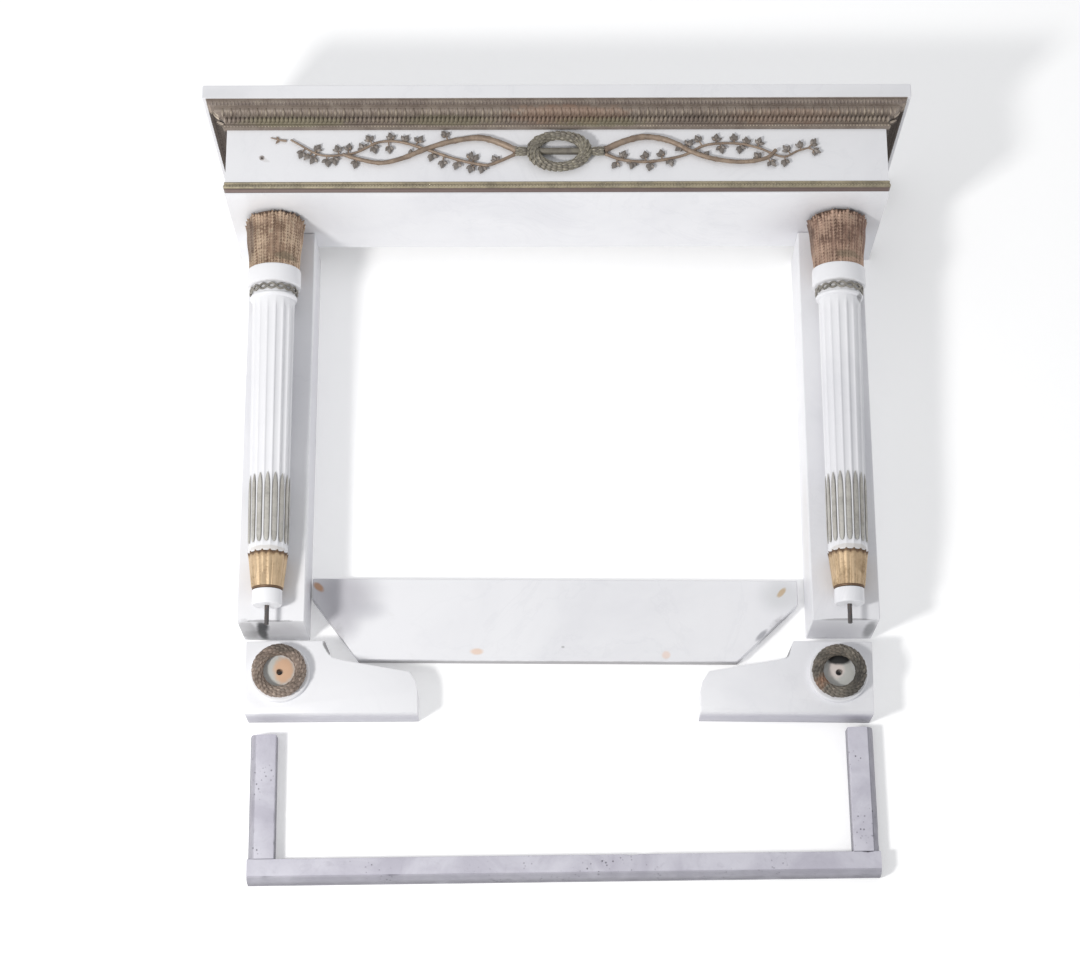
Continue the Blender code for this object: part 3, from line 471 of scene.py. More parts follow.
def bronze(name, dark, mid, bright, gilding=0.35, patina=(0.10, 0.12, 0.11, 1), green=0.25, rough=0.45, scale=1.0,
           metal=0.70, hollows=0.0, pit=(0.020, 0.013, 0.010, 1), shade_below=0.0, leafage=None, marks=()):
    """Cast bronze: dark in the hollows, browner on the rounds, gilding left in patches and on the ridges. Below
    shade_below, on the returns that run back to the wall, painted shade darkens it nearly to black. Leafage is the
    tint of the points that are marked as leaves, and marks are patches as on the marble."""
    finish, wire, place, shader = new_finish(name)
    cloud = clouds(place, 38.0 * scale, 5.0, 0.6)
    fine = clouds(place, 210.0 * scale, 4.0, 0.6)
    ridge = wire.node("Attribute", {"attribute_name": "raised"}, None, 2)
    colour = cloud.smooth(0.35, 0.65).mixed(dark, mid)
    worn = (clouds(place, 17.0 * scale, 4.0, 0.6) + ridge * 0.30 + (fine - 0.5) * 0.5).smooth(0.60, 0.80)
    colour = (worn * gilding).mixed(colour, bright)
    bloom = clouds(place, 60.0 * scale, 5.0, 0.7).smooth(0.56, 0.72)
    colour = (bloom * green).mixed(colour, patina)
    if leafage:
        leafy = wire.node("Attribute", {"attribute_name": "leafy"}, None, 2)
        colour = (leafy * 0.80).mixed(colour, leafage)
    if hollows:
        colour = (ridge.smooth(0.40, 0.0) * hollows).mixed(colour, pit)
    for centre, reach, turn, ragged, strength, tint in marks:
        colour = (patch(place, centre, reach, turn, ragged) * strength).mixed(colour, tint)
    if shade_below:
        height = wire.node("SeparateXYZ", None, {0: place}, 2)
        colour = (height.smooth(shade_below, shade_below - 0.012) * 0.85).mixed(colour, (0.030, 0.021, 0.019, 1))
    links = finish.node_tree.links
    links.new((metal - bloom * 0.35).socket, shader.inputs["Metallic"])
    join_shader(finish, shader, colour, rough + fine * 0.22 - worn * gilding * 0.18, fine * 0.7 + cloud * 0.3, 0.0004)
    return finish


def tube(points, radii, sides, cyclic=False):
    """A round bar through the points, its ends closed; radii holds one radius for each point."""
    begin()
    bpy.ops.curve.primitive_nurbs_path_add()
    bar = bpy.context.object
    bar.data.splines.remove(bar.data.splines[0])
    spline = bar.data.splines.new("POLY")
    spline.points.add(len(points) - 1)
    for point, spot, radius in zip(spline.points, points, radii):
        point.co = (*spot, 1)
        point.radius = radius
    spline.use_cyclic_u = cyclic
    bar.data.bevel_depth = 1.0
    bar.data.bevel_resolution = (sides - 4) // 2
    bar.data.use_fill_caps = not cyclic
    bpy.ops.object.convert(target="MESH")
    piece = bpy.context.object
    close_up(piece, 60)
    return piece


def garland(path, bundle, length, width, thick, lean, seed):
    """Bundles of leaves that overlap along a path of (place, direction, radius): each leaf leans out and points
    onwards."""
    rng = random.Random(seed)
    model = leaf(length, width, thick)
    spots = []
    for index, (middle, ahead, radius) in enumerate(path):
        side = ahead.cross(Vector((0, 0, 1))).normalized()
        up = side.cross(ahead).normalized()
        for count in range(bundle):
            around = 2 * math.pi * (count + 0.5 * (index % 2)) / bundle
            out = (side * math.cos(around) + up * math.sin(around)).normalized()
            rise = lean + rng.uniform(-0.05, 0.05)
            along = (ahead * math.cos(rise) + out * math.sin(rise)).normalized()
            across = along.cross(out).normalized()
            face = across.cross(along).normalized()
            root = middle + out * radius
            turn = Matrix((across, along, face)).transposed().to_4x4()
            spots.append(Matrix.Translation(root) @ turn)
    copies = lay_out(model, spots)
    away(model)
    return copies


left, right = seat_spots["left"], seat_spots["right"]
ring_bronze = {
    "left": bronze("ring_bronze_left", (0.18, 0.140, 0.115, 1), (0.31, 0.245, 0.205, 1), (0.45, 0.37, 0.30, 1), 0.45,
                   patina=(0.30, 0.31, 0.30, 1), green=0.35, metal=0.50, rough=0.52, marks=[
        (next_to(left, 0.006, 0.044), (0.046, 0.014, 0.04), -0.2, 0.4, 0.65, (0.11, 0.095, 0.080, 1))]),
    "right": bronze("ring_bronze_right", (0.11, 0.100, 0.086, 1), (0.20, 0.178, 0.150, 1), (0.36, 0.29, 0.23, 1), 0.45,
                    patina=(0.15, 0.16, 0.130, 1), green=0.50, metal=0.50, rough=0.52, marks=[
        # Painted shade: the right ring's outer right side is darkened.
        (next_to(right, 0.036, -0.004), (0.022, 0.050, 0.04), 0.0, 0.4, 0.70, (0.055, 0.053, 0.05, 1)),
        (next_to(right, -0.032, -0.022), (0.020, 0.022, 0.04), 0.0, 0.4, 0.60, (0.34, 0.18, 0.11, 1))]),
}
ring_radius = 0.0412
ring_thick = 0.0116
ring_rows = 34
for word in ("left", "right"):
    middle = seat_spots[word]
    level = middle.z + 0.0003 + ring_thick
    around = [Vector((math.cos(2 * math.pi * i / 48), math.sin(2 * math.pi * i / 48), 0)) for i in range(48)]
    core = tube([Vector((middle.x, middle.y, level)) + ring_radius * way for way in around], [0.0096] * 48, 12, True)
    path = []
    for index in range(ring_rows):
        angle = 2 * math.pi * index / ring_rows
        way = Vector((math.cos(angle), math.sin(angle), 0))
        path.append((Vector((middle.x, middle.y, level)) + ring_radius * way, Vector((-way.y, way.x, 0)), 0.0092))
    leaves = garland(path, 9, 0.0125, 0.0078, 0.0007, 0.05, 5 if word == "left" else 9)
    berry = ball(0.0015)
    berries = lay_out(berry, [Matrix.Translation(spot + Vector((0, 0, 0.0103))) for spot, _, _ in path[::3]])
    away(berry)
    ring = gather([core, *leaves, *berries])
    close_up(ring, 50)
    hand_over(ring, f"bronze_laurel_ring_{word}", ring_bronze[word], f"laurel_ring_{word}")


# Hearth frame
# Three bars of grey-lilac marble that went round the hearth: flat on top, with a rounded moulding run along the
# outer side. The side bars butt against the front one; the faces are pitted and their edges chipped.
def bar_outline(width, mirror=1):
    """The bar's section: (across, height), the moulded side away from the hearth."""
    points = [(0, 0), (width, 0), (width, 0.0120), (width - 0.0008, 0.0128)]
    for step in range(9):
        angle = math.pi / 2 * step / 8
        points.append((width - 0.0012 - 0.0118 * (1 - math.cos(angle)), 0.0150 + 0.0200 * math.sin(angle)))
    points += [(width - 0.0130, 0.0364), (width - 0.0136, 0.0380), (0.0030, 0.0380), (0.0008, 0.0371), (0, 0.0350)]
    return [(mirror * x, z) for x, z in points]


def worn_bar(section, length, chips, seed):
    """Draws the section out along +Y in short steps, with small chips along its edges."""
    rng = random.Random(seed)
    piece = outline([(x, 0, z) for x, z in section])
    count = round(length / 0.006)
    for _ in range(count):
        pull(lambda co: co + Vector((0, length / count, 0)))
    bpy.ops.object.mode_set(mode="OBJECT")
    bites = [(rng.uniform(0.01, length - 0.01), rng.choice(section[2:]), rng.uniform(0.002, 0.0058))
             for _ in range(chips)]
    middle = Vector((sum(x for x, _ in section) / len(section), 0, 0.019))
    for corner in piece.data.vertices:
        for spot, (x, z), size in bites:
            away_by = math.hypot(corner.co.x - x, corner.co.z - z, (corner.co.y - spot) * 0.5)
            if away_by < size and 0.001 < corner.co.z:
                inward = Vector((middle.x - corner.co.x, 0, middle.z - corner.co.z)).normalized()
                corner.co += inward * (size - away_by) * 0.5
    close_up(piece, 35)
    return piece


def grey_marble(name):
    """Grey-lilac marble, unpolished, pitted and cracked, with painted shade on its moulded side that grows darker
    towards the foot.
    """
    finish, wire, place, shader = new_finish(name)
    cloud = clouds(place, 9.0, 6.0, 0.62, 0.6)
    colour = cloud.smooth(0.34, 0.66).mixed((0.49, 0.475, 0.545, 1), (0.62, 0.61, 0.675, 1))
    streak = clouds(place, 30.0, 6.0, 0.7, 1.5).smooth(0.52, 0.70)
    colour = (streak * 0.22).mixed(colour, (0.36, 0.345, 0.40, 1))
    crack = (clouds(place, 7.0, 7.0, 0.7, 2.2) - 0.5).size()
    line = crack.smooth(0.006, 0.0) * clouds(place, 3.0).smooth(0.56, 0.66) * 0.45
    cells = wire.node("TexVoronoi", None, {"Vector": place, "Scale": 120.0})
    pit = cells.smooth(0.26, 0.10) * clouds(place, 14.0, 3.0).smooth(0.50, 0.66)
    dark = line.most(pit)
    colour = (dark * 0.80).mixed(colour, (0.10, 0.095, 0.12, 1))
    height = wire.node("SeparateXYZ", None, {0: place}, 2)
    # Painted shade: everything below the flat top is darkened, more towards the foot, and clouded unevenly.
    side_shade = height.smooth(0.0364, 0.0340) * 0.58 + height.smooth(0.031, 0.016) * 0.30
    side_shade = side_shade * (0.75 + 0.25 * clouds(place, 22.0, 4.0).smooth(0.25, 0.60))
    colour = side_shade.mixed(colour, (0.20, 0.195, 0.225, 1))
    join_shader(finish, shader, colour, 0.45 + cloud * 0.25 + dark * 0.1, 1 - dark, 0.0012)
    return finish


frame_corner = (Matrix.Translation((0.009, -0.4350 + foot_y, 0)) @ Matrix.Rotation(0.0105, 4, "Z"))
half_width = 0.606
bar_finish = grey_marble("hearth_marble")
front = worn_bar(bar_outline(0.0460), 2 * half_width, 46, 11)
apply_all(front, frame_corner @ Matrix.Translation((half_width, 0, 0)) @ Matrix.Rotation(math.pi / 2, 4, "Z")
          @ Matrix.Diagonal((-1, 1, 1, 1)))
close_up(front, 35)
hand_over(front, "marble_hearth_bar_front", bar_finish, "hearth_bar_front")
for word, side in (("left", -1), ("right", 1)):
    bar = worn_bar(bar_outline(0.0515, side), 0.2420, 12, 21 + side)
    apply_all(bar, frame_corner @ Matrix.Translation((side * (half_width - 0.0515), 0.0003, 0)))
    close_up(bar, 35)
    hand_over(bar, f"marble_hearth_bar_{word}", bar_finish, f"hearth_bar_{word}")


# Jambs
# Two plain square posts of white marble that lie on their backs. Their sawn feet are mottled dark by old mortar,
# and soot has left a soft stain low on the right one's inner side. Painted shade greys their end faces and the
# left one's inner side, and the left pin's painted shadow falls black across its end, with black staining.
# Painted shade greys the sawn end faces of both jambs.
end_face_shade = (0.62, 0.61, 0.63, 1)
mortar = (0.115, 0.115, 0.125, 1)
redress("jamb_left", marble("jamb_marble_left", [
    ((-0.555, foot_y, 0.070), (0.085, 0.006, 0.110), 0.0, 0.15, 0.50, end_face_shade),
    ((-0.606, foot_y, 0.075), (0.024, 0.012, 0.085), 0.0, 0.30, 0.60, (0.20, 0.195, 0.205, 1)),
    ((-0.596, foot_y, 0.030), (0.030, 0.012, 0.050), 0.0, 0.30, 0.55, (0.18, 0.175, 0.185, 1)),
    # A black wedge under the left pin: the pin's painted shadow together with black staining.
    ((-0.5735, foot_y, 0.103), (0.0155, 0.012, 0.045), 0.0, 0.14, 1.0, (0.018, 0.018, 0.020, 1)),
    ((-0.5790, foot_y, 0.056), (0.0125, 0.012, 0.062), 0.0, 0.14, 1.0, (0.018, 0.018, 0.020, 1)),
    ((-0.555, foot_y, 0.1405), (0.064, 0.004, 0.004), 0.0, 0.45, 0.60, (0.22, 0.21, 0.22, 1)),
    # Painted shade: the left jamb's inner side is tinted lilac-grey.
    ((-0.49, foot_y + 0.40, 0.06), (0.006, 0.45, 0.09), 0.0, 0.35, 0.30, (0.52, 0.51, 0.60, 1)),
]))
redress("jamb_right", marble("jamb_marble_right", [
    # Painted shade: the right jamb's end face is greyed a little.
    ((0.555, foot_y, 0.070), (0.085, 0.006, 0.110), 0.0, 0.15, 0.30, (0.74, 0.73, 0.77, 1)),
    ((0.608, foot_y, 0.070), (0.016, 0.008, 0.085), 0.0, 0.12, 0.75, mortar),
    ((0.555, foot_y, 0.1405), (0.064, 0.004, 0.004), 0.0, 0.20, 0.60, (0.20, 0.19, 0.20, 1)),
    ((0.49, foot_y + 0.20, 0.08), (0.006, 0.16, 0.08), 0.0, 0.10, 0.40, (0.60, 0.57, 0.54, 1)),
]))


# Column shafts
# Each column is a marble quiver: a collar and a neck above, a fluted and slightly tapering shaft, and a round foot
# that is drilled for the iron pin. It lies on its jamb, on the crown and the ferrule, up against the soffit.
gap = 0.0003
jamb_height = 0.8167
jamb_depth = 0.1413
crown_reach = 0.0614
ferrule_reach = 0.0385
column_foot = 0.0214
ferrule_foot = 0.0513
ferrule_top = 0.1218
shaft_top = 0.6421
band_foot = 0.6511
collar_foot = 0.6691
collar_top = 0.7071
flutes = 16
ferrule_rest = ferrule_foot + 0.9 * (ferrule_top - ferrule_foot)
lean = math.atan((crown_reach + gap - ferrule_reach) / (jamb_height - ferrule_rest))
axis_z = jamb_depth + (ferrule_reach + gap) * math.cos(lean) - ferrule_rest * math.sin(lean)
column_top = (jamb_height - 3 * gap) / math.cos(lean)


def shaft_radius(height):
    """The shaft's radius over its gentle taper."""
    return 0.0380 + 0.0038 * (height - ferrule_top) / (shaft_top - ferrule_top)


def meet_soffit(piece):
    """Slants what stands above the collar, so that its top lies flat against the soffit."""
    for corner in piece.data.vertices:
        share = (corner.co.z - collar_top) / (column_top - collar_top)
        corner.co.z -= corner.co.y * math.tan(lean) * max(0.0, share)


columns = {}
for word, foot_x, turn in (("left", -0.5585, 0.007), ("right", 0.5575, -0.006)):
    columns[word] = (Matrix.Translation((foot_x, foot_y, axis_z)) @ Matrix.Rotation(turn, 4, "Z")
                     @ Matrix.Rotation(lean - math.pi / 2, 4, "X"))
    rows = 44
    low, high = ferrule_top + 0.0090, shaft_top - 0.0080
    profile = [(0.0268, column_foot), (0.0282, column_foot + 0.0010), (0.0288, column_foot + 0.0035),
               (0.0288, ferrule_foot - 0.0012), (0.0235, ferrule_foot), (0.0300, ferrule_top - 0.0001),
               (0.0376, ferrule_top + 0.0005), (0.0380, ferrule_top + 0.0015)]
    profile += [(shaft_radius(low + (high - low) * row / rows), low + (high - low) * row / rows)
                for row in range(rows + 1)]
    profile += [(radius, shaft_top + up) for radius, up in (
        (0.0418, -0.0002), (0.0440, 0.0005), (0.0462, 0.0020), (0.0470, 0.0045), (0.0462, 0.0070),
        (0.0440, 0.0082), (0.0432, 0.0090))]
    profile += [(radius, collar_foot + up) for radius, up in (
        (0.0432, 0.0), (0.0505, 0.0005), (0.0525, 0.0018), (0.0532, 0.0050), (0.0532, 0.0330),
        (0.0525, 0.0360), (0.0505, 0.0375), (0.0420, 0.0380))]
    profile.append((0.0420, column_top))
    shaft = lathe(profile, 12 * flutes)
    for corner in shaft.data.vertices:
        height = corner.co.z
        if low < height < high:
            ends = min(1.0, (height - low) / 0.011, (high - height) / 0.011)
            arch = math.sqrt(max(0.0, 1 - (1 - ends) ** 2))
            angle = math.atan2(corner.co.y, corner.co.x) * flutes / (2 * math.pi)
            across = abs((angle - 0.5) % 1.0 - 0.5) * 2 / 0.84
            if across < arch or (across < 1 and ends >= 1):
                hollow = math.sqrt(max(0.0, 1 - (across / max(arch, 0.001)) ** 2))
                scale = 1 - 0.0030 * hollow * arch / shaft_radius(height)
                corner.co.x *= scale
                corner.co.y *= scale
    meet_soffit(shaft)
    drill = lathe([(0.0048, -0.01), (0.0048, column_foot + 0.0300)], 24)
    close_up(drill, 30)
    carve(shaft, "DIFFERENCE", drill)
    apply_all(shaft, columns[word])
    close_up(shaft, 32)
    dust = (0.42, 0.40, 0.38, 1)
    marks = [((foot_x, foot_y + 0.660, 0.240), (0.060, 0.011, 0.060), 0.0, 0.3, 0.40, dust),
             ((foot_x, foot_y + 0.126, 0.215), (0.050, 0.006, 0.060), 0.0, 0.5, 0.40, (0.48, 0.42, 0.34, 1))]
    if word == "right":
        # Painted shadow: a dark patch on the right column's right side, below the band.
        marks.append(((foot_x + 0.040, foot_y + 0.640, 0.215), (0.008, 0.012, 0.020), 0.0, 0.2, 0.7, painted_shadow_grey))
    hand_over(shaft, f"marble_column_{word}", marble(f"column_marble_{word}", marks),
              f"column_shaft_{word}")


# Feather crowns
# The arrows' feathers fill the mouth of the quiver: two ranks of upright bronze feathers round the marble core,
# each with a raised quill and slanting barbs. The gilding is left on the left crown, and mostly gone on the right.
def feather(length, width, barbs, columns_of_faces, rng):
    """A feather along +Y, rounded across, with a quill down its middle, knobbly barbs and a blunt ragged tip. No
    two are quite alike."""
    shift, sway = rng.uniform(0, 1), rng.uniform(0, 6)
    begin()
    bpy.ops.mesh.primitive_grid_add(x_subdivisions=columns_of_faces, y_subdivisions=3 * barbs, size=1)
    piece = bpy.context.object
    raised = piece.data.attributes.new("raised", "FLOAT", "POINT")
    for corner in piece.data.vertices:
        across = 2 * corner.co.x
        along = corner.co.y + 0.5
        tip = max(0.0, (along - 0.84) / 0.16)
        reach = (0.74 + 0.26 * min(1.0, along / 0.7)) * math.sqrt(max(0.04, 1 - 0.90 * tip ** 2.2))
        barb = math.sin(2 * math.pi * (along * barbs - abs(across) * 0.8 + shift + 0.35 * math.sin(7 * along + sway)))
        quill = abs(across) < 0.1
        height = 0.0026 * (1 - across ** 2) + (0.0008 if quill else 0.00065 * barb)
        height += 0.0018 * tip ** 1.5 + 0.0006 * math.sin(11 * along + 2 * sway) * (1 - tip)
        raised.data[corner.index].value = max(0.0, (1.0 if quill else 0.50 + 0.45 * barb) - 0.75 * across ** 4)
        corner.co = (across * reach * width / 2, along * length - 0.0016 * abs(across) * tip, height)
    return cast(piece, 0.0014, 45)


def round_column(radius_low, radius_high, low, high, count, phase):
    """Places for upright forms round a column: +Y of the form runs up it and +Z looks away from it."""
    rise = math.atan2(radius_high - radius_low, high - low)
    spots = []
    for index in range(count):
        angle = 2 * math.pi * (index + phase) / count
        spots.append(Matrix.Translation((radius_low * math.cos(angle), radius_low * math.sin(angle), low))
                     @ Matrix.Rotation(angle + math.pi / 2, 4, "Z") @ Matrix.Rotation(math.pi / 2 + rise, 4, "X"))
    return spots


def sleeve(rings, sides):
    """A turned sleeve round the column: rings of (radius, height) up the outside and down the bore."""
    piece = lathe(rings + rings[:1], sides, "NOTHING")
    close_up(piece, 40)
    return piece


crown_gilt = {}
for word, place_x, tints in (
        ("left", -0.555, ((0.25, 0.165, 0.115, 1), (0.43, 0.305, 0.220, 1), (0.70, 0.54, 0.39, 1), 0.75)),
        ("right", 0.555, ((0.20, 0.125, 0.095, 1), (0.38, 0.250, 0.190, 1), (0.62, 0.44, 0.33, 1), 0.65))):
    shadowed = (0.155, 0.110, 0.090, 1)
    crown_gilt[word] = bronze(f"crown_bronze_{word}", *tints, patina=(0.40, 0.36, 0.26, 1), green=0.45, rough=0.46,
                              hollows=0.75, pit=(0.13, 0.080, 0.055, 1), marks=[
        # Painted shade: a dark band along the feather tips against the soffit, and darker flanks on both sides.
        ((place_x, foot_y + 0.818, 0.22), (0.5, 0.011, 0.5), 0.0, 0.45, 0.60, shadowed),
        ((place_x - 0.056, foot_y + 0.765, 0.21), (0.017, 0.065, 0.065), 0.0, 0.30, 0.65, shadowed),
        ((place_x + 0.060, foot_y + 0.765, 0.19), (0.014, 0.065, 0.065), 0.0, 0.30, 0.60, (0.17, 0.095, 0.08, 1)),
        ((place_x + 0.020, foot_y + 0.722, 0.25), (0.030, 0.010, 0.060), 0.0, 0.50, 0.50, (0.20, 0.175, 0.12, 1))])
feathers = 24
for word in ("left", "right"):
    core = sleeve([(0.0450, collar_top + 0.0006), (0.0515, collar_top + 0.0600), (0.0540, column_top - 0.0030),
                   (0.0450, column_top - 0.0012), (0.0426, column_top - 0.0012), (0.0426, collar_top + 0.0006)], 48)
    rng = random.Random(31 if word == "left" else 37)
    ranks = []
    for phase, barbs, faces_across, low_radius, high_radius, width in (
            (0.0, 18, 6, 0.0458, 0.0564, 0.0148), (0.5, 14, 4, 0.0446, 0.0550, 0.0140)):
        spots = round_column(low_radius, high_radius, collar_top + 0.0006, column_top, feathers, phase)
        for start in range(4):
            model = feather(column_top - collar_top - 0.0016, width, barbs + start - 2, faces_across, rng)
            ranks += lay_out(model, [
                spot @ Matrix.Translation((rng.uniform(-0.0008, 0.0008), 0, rng.uniform(-0.0009, 0.0004)))
                @ Matrix.Diagonal((rng.uniform(0.88, 1.12), rng.uniform(0.925, 1.0), 1, 1))
                for spot in spots[start::4]])
            away(model)
    crown = gather([core, *ranks])
    for corner in crown.data.vertices:
        reach = math.hypot(corner.co.x, corner.co.y)
        if reach > crown_reach:
            corner.co.x *= crown_reach / reach
            corner.co.y *= crown_reach / reach
    meet_soffit(crown)
    apply_all(crown, columns[word])
    close_up(crown, 50)
    hand_over(crown, f"bronze_feather_crown_{word}", crown_gilt[word], f"feather_crown_{word}")


# Guilloche bands
# A pierced band of two twisted bronze strands goes round the neck of the quiver, and the marble shows through its
# eyes. Its bronze has gone grey-brown.
band_bronze = bronze("band_bronze", (0.21, 0.195, 0.170, 1), (0.34, 0.320, 0.285, 1), (0.52, 0.48, 0.40, 1), 0.50,
                     patina=(0.42, 0.41, 0.38, 1), green=0.4, metal=0.40)
band_waves = 8
band_steps = 160
for word in ("left", "right"):
    strands = []
    for phase in (0, math.pi):
        path = []
        for index in range(band_steps):
            angle = 2 * math.pi * index / band_steps
            wave = band_waves * angle + phase
            radius = 0.0460 + 0.0006 * math.sin(2 * wave)
            height = (band_foot + collar_foot) / 2 + 0.0052 * math.cos(wave)
            path.append((radius * math.cos(angle), radius * math.sin(angle), height))
        strands.append(tube(path, [0.0021] * band_steps, 8, cyclic=True))
    band = gather(strands)
    apply_all(band, columns[word])
    close_up(band, 60)
    hand_over(band, f"bronze_guilloche_band_{word}", band_bronze, f"guilloche_band_{word}")


# Husks
# A flat pointed bronze husk lies in the lower end of each flute that shows. Each was cast alone and pinned on, and
# it has an old grey skin.
husk_bronze = bronze("husk_bronze", (0.33, 0.32, 0.295, 1), (0.47, 0.46, 0.43, 1), (0.66, 0.63, 0.57, 1), 0.40,
                     patina=(0.50, 0.49, 0.46, 1), green=0.45, metal=0.25, rough=0.55,
                     hollows=0.55, pit=(0.20, 0.18, 0.15, 1))
husk_length = 0.139
husk_width = 0.0054
husk_depth = 0.0016
husk_middle = 0.2785 - husk_length / 2
husk_lean = math.atan(0.0038 / (shaft_top - ferrule_top))
husk_reach = shaft_radius(husk_middle) - 0.0024 + husk_depth + 2 * gap
shape = [(-0.5, 0.05), (-0.492, 0.35), (-0.475, 0.60), (-0.450, 0.80), (-0.410, 0.95), (-0.360, 1.0), (-0.20, 1.0),
         (0.0, 1.0), (0.18, 1.0), (0.28, 0.96), (0.35, 0.84), (0.41, 0.64), (0.45, 0.45), (0.48, 0.24), (0.5, 0.04)]
for word in ("left", "right"):
    husk_model = lathe([(share, height * husk_length) for height, share in shape], 12)
    close_up(husk_model, 50)
    raised = husk_model.data.attributes.new("raised", "FLOAT", "POINT")
    for corner in husk_model.data.vertices:
        raised.data[corner.index].value = 1.0 if corner.co.x > 0.8 * math.hypot(corner.co.x, corner.co.y) else 0.0
        corner.co.x *= husk_depth
        corner.co.y *= husk_width
    for index in range(11):
        angle = -math.pi / 2 + 2 * math.pi * (index - 5) / flutes
        across, up = husk_reach * math.cos(angle), husk_reach * math.sin(angle)
        spot = (columns[word] @ Matrix.Translation((across, up, husk_middle)) @ Matrix.Rotation(angle, 4, "Z")
                @ Matrix.Rotation(husk_lean, 4, "Y"))
        husk = lay_out(husk_model, [spot])[0]
        apply_all(husk)
        hand_over(husk, f"bronze_husk_{word}_{index + 1}", husk_bronze, f"husk_{word}_{index + 1}")
    away(husk_model)


# Ferrules
# A cup of broad upright gilt leaves closes the lower end of each quiver. Their tips curl out over the foot of the
# fluting, dark with dirt, and a plain dark ring goes round the foot.
def water_leaf(length, width):
    """A broad leaf along +Y with nearly straight sides, a rib, and a round tip that curls out."""
    begin()
    bpy.ops.mesh.primitive_grid_add(x_subdivisions=6, y_subdivisions=16, size=1)
    piece = bpy.context.object
    raised = piece.data.attributes.new("raised", "FLOAT", "POINT")
    for corner in piece.data.vertices:
        across = 2 * corner.co.x
        along = corner.co.y + 0.5
        tip = max(0.0, (along - 0.86) / 0.14)
        reach = (0.72 + 0.28 * min(1.0, along / 0.8)) * math.sqrt(max(0.03, 1 - 0.95 * tip ** 2.5))
        height = 0.0017 * (1 - across ** 2) + (0.0007 if abs(across) < 0.1 else 0.0)
        dirt = 0.85 * across ** 4 + 1.6 * max(0.0, along - 0.80) / 0.20
        raised.data[corner.index].value = max(0.0, 1.0 - dirt)
        corner.co = (across * reach * width / 2, along * length, height + 0.0008 * tip)
    return cast(piece, 0.0011, 45)


ferrule_gilt = bronze("ferrule_gilt", (0.36, 0.25, 0.145, 1), (0.56, 0.41, 0.26, 1), (0.74, 0.56, 0.36, 1), 0.60,
                      patina=(0.40, 0.25, 0.16, 1), green=0.45, rough=0.44, metal=0.60, hollows=0.90,
                      pit=(0.15, 0.090, 0.055, 1))
ferrule_leaves = 16
for word in ("left", "right"):
    core = sleeve([(0.0286, ferrule_foot + gap), (0.0296, ferrule_foot + 0.0015), (0.0296, ferrule_foot + 0.0045),
                   (0.0286, ferrule_foot + 0.0060), (0.0318, ferrule_foot + 0.0300), (0.0352, ferrule_top - 0.0100),
                   (0.0362, ferrule_top - 0.0010), (0.0322, ferrule_top - 0.0006), (0.0303, ferrule_top - 0.0006),
                   (0.0245, ferrule_foot + gap)], 48)
    leaf_foot = ferrule_foot + 0.0045
    leaf_length = ferrule_top + 0.0030 - leaf_foot
    model = water_leaf(leaf_length, 0.0150)
    rank = lay_out(model, round_column(0.0284, 0.0364, leaf_foot, leaf_foot + leaf_length, ferrule_leaves, 0.5))
    behind = water_leaf(leaf_length - 0.0030, 0.0110)
    rank += lay_out(behind, round_column(0.0276, 0.0354, leaf_foot, leaf_foot + leaf_length, ferrule_leaves, 0.0))
    away(model, behind)
    ferrule = gather([core, *rank])
    apply_all(ferrule, columns[word])
    close_up(ferrule, 45)
    hand_over(ferrule, f"bronze_ferrule_{word}", ferrule_gilt, f"ferrule_{word}")


# Iron pins
# A wrought iron dowel is let into the foot of each column and held the column on its plinth.
# It sticks out below, cut square and dull with rust.
iron, wire, place, shader = new_finish("rusted_iron")
rust = clouds(place, 160.0, 6.0, 0.7)
join_shader(iron, shader, rust.smooth(0.45, 0.70).mixed((0.115, 0.110, 0.112, 1), (0.17, 0.125, 0.105, 1)),
            0.60 + rust * 0.3, rust, 0.0008)
shader.inputs["Metallic"].default_value = 0.5
pin_end = -0.0163
for word in ("left", "right"):
    pin = lathe([(0.0036, pin_end), (0.0044, pin_end + 0.0008), (0.0045, -0.0040), (0.0043, 0.0060),
                 (0.0045, 0.0150), (0.0045, column_foot + 0.0280), (0.0040, column_foot + 0.0290)], 20)
    rng = random.Random(4)
    for corner in pin.data.vertices:
        if corner.co.z < column_foot:
            corner.co.x += rng.uniform(-0.00008, 0.00004) * (1 if corner.co.x > 0 else -1)
    apply_all(pin, columns[word])
    close_up(pin, 40)
    hand_over(pin, f"iron_dowel_{word}", iron, f"iron_pin_{word}")


# Frieze block
# One hollowed block of white marble: the front, two returns and a deep soffit. A small drilled hole and its rust
# show where the lost end of the left branch was pinned.
frieze_front = 0.326
frieze_half = 0.652
soffit_y = foot_y + jamb_height
redress("frieze_block", marble("frieze_marble", [
    ((-0.581, soffit_y + 0.0781, frieze_front), (0.006, 0.006, 0.01), 0.0, 0.4, 0.9, (0.16, 0.12, 0.10, 1)),
    ((-0.577, soffit_y + 0.0750, frieze_front), (0.014, 0.006, 0.01), -0.5, 0.6, 0.35, (0.50, 0.46, 0.44, 1)),
    # Painted shade: a soft lilac-grey patch on the right end of the soffit.
    ((0.52, soffit_y, 0.16), (0.16, 0.020, 0.16), 0.0, 0.03, 0.40, (0.56, 0.55, 0.60, 1)),
]))


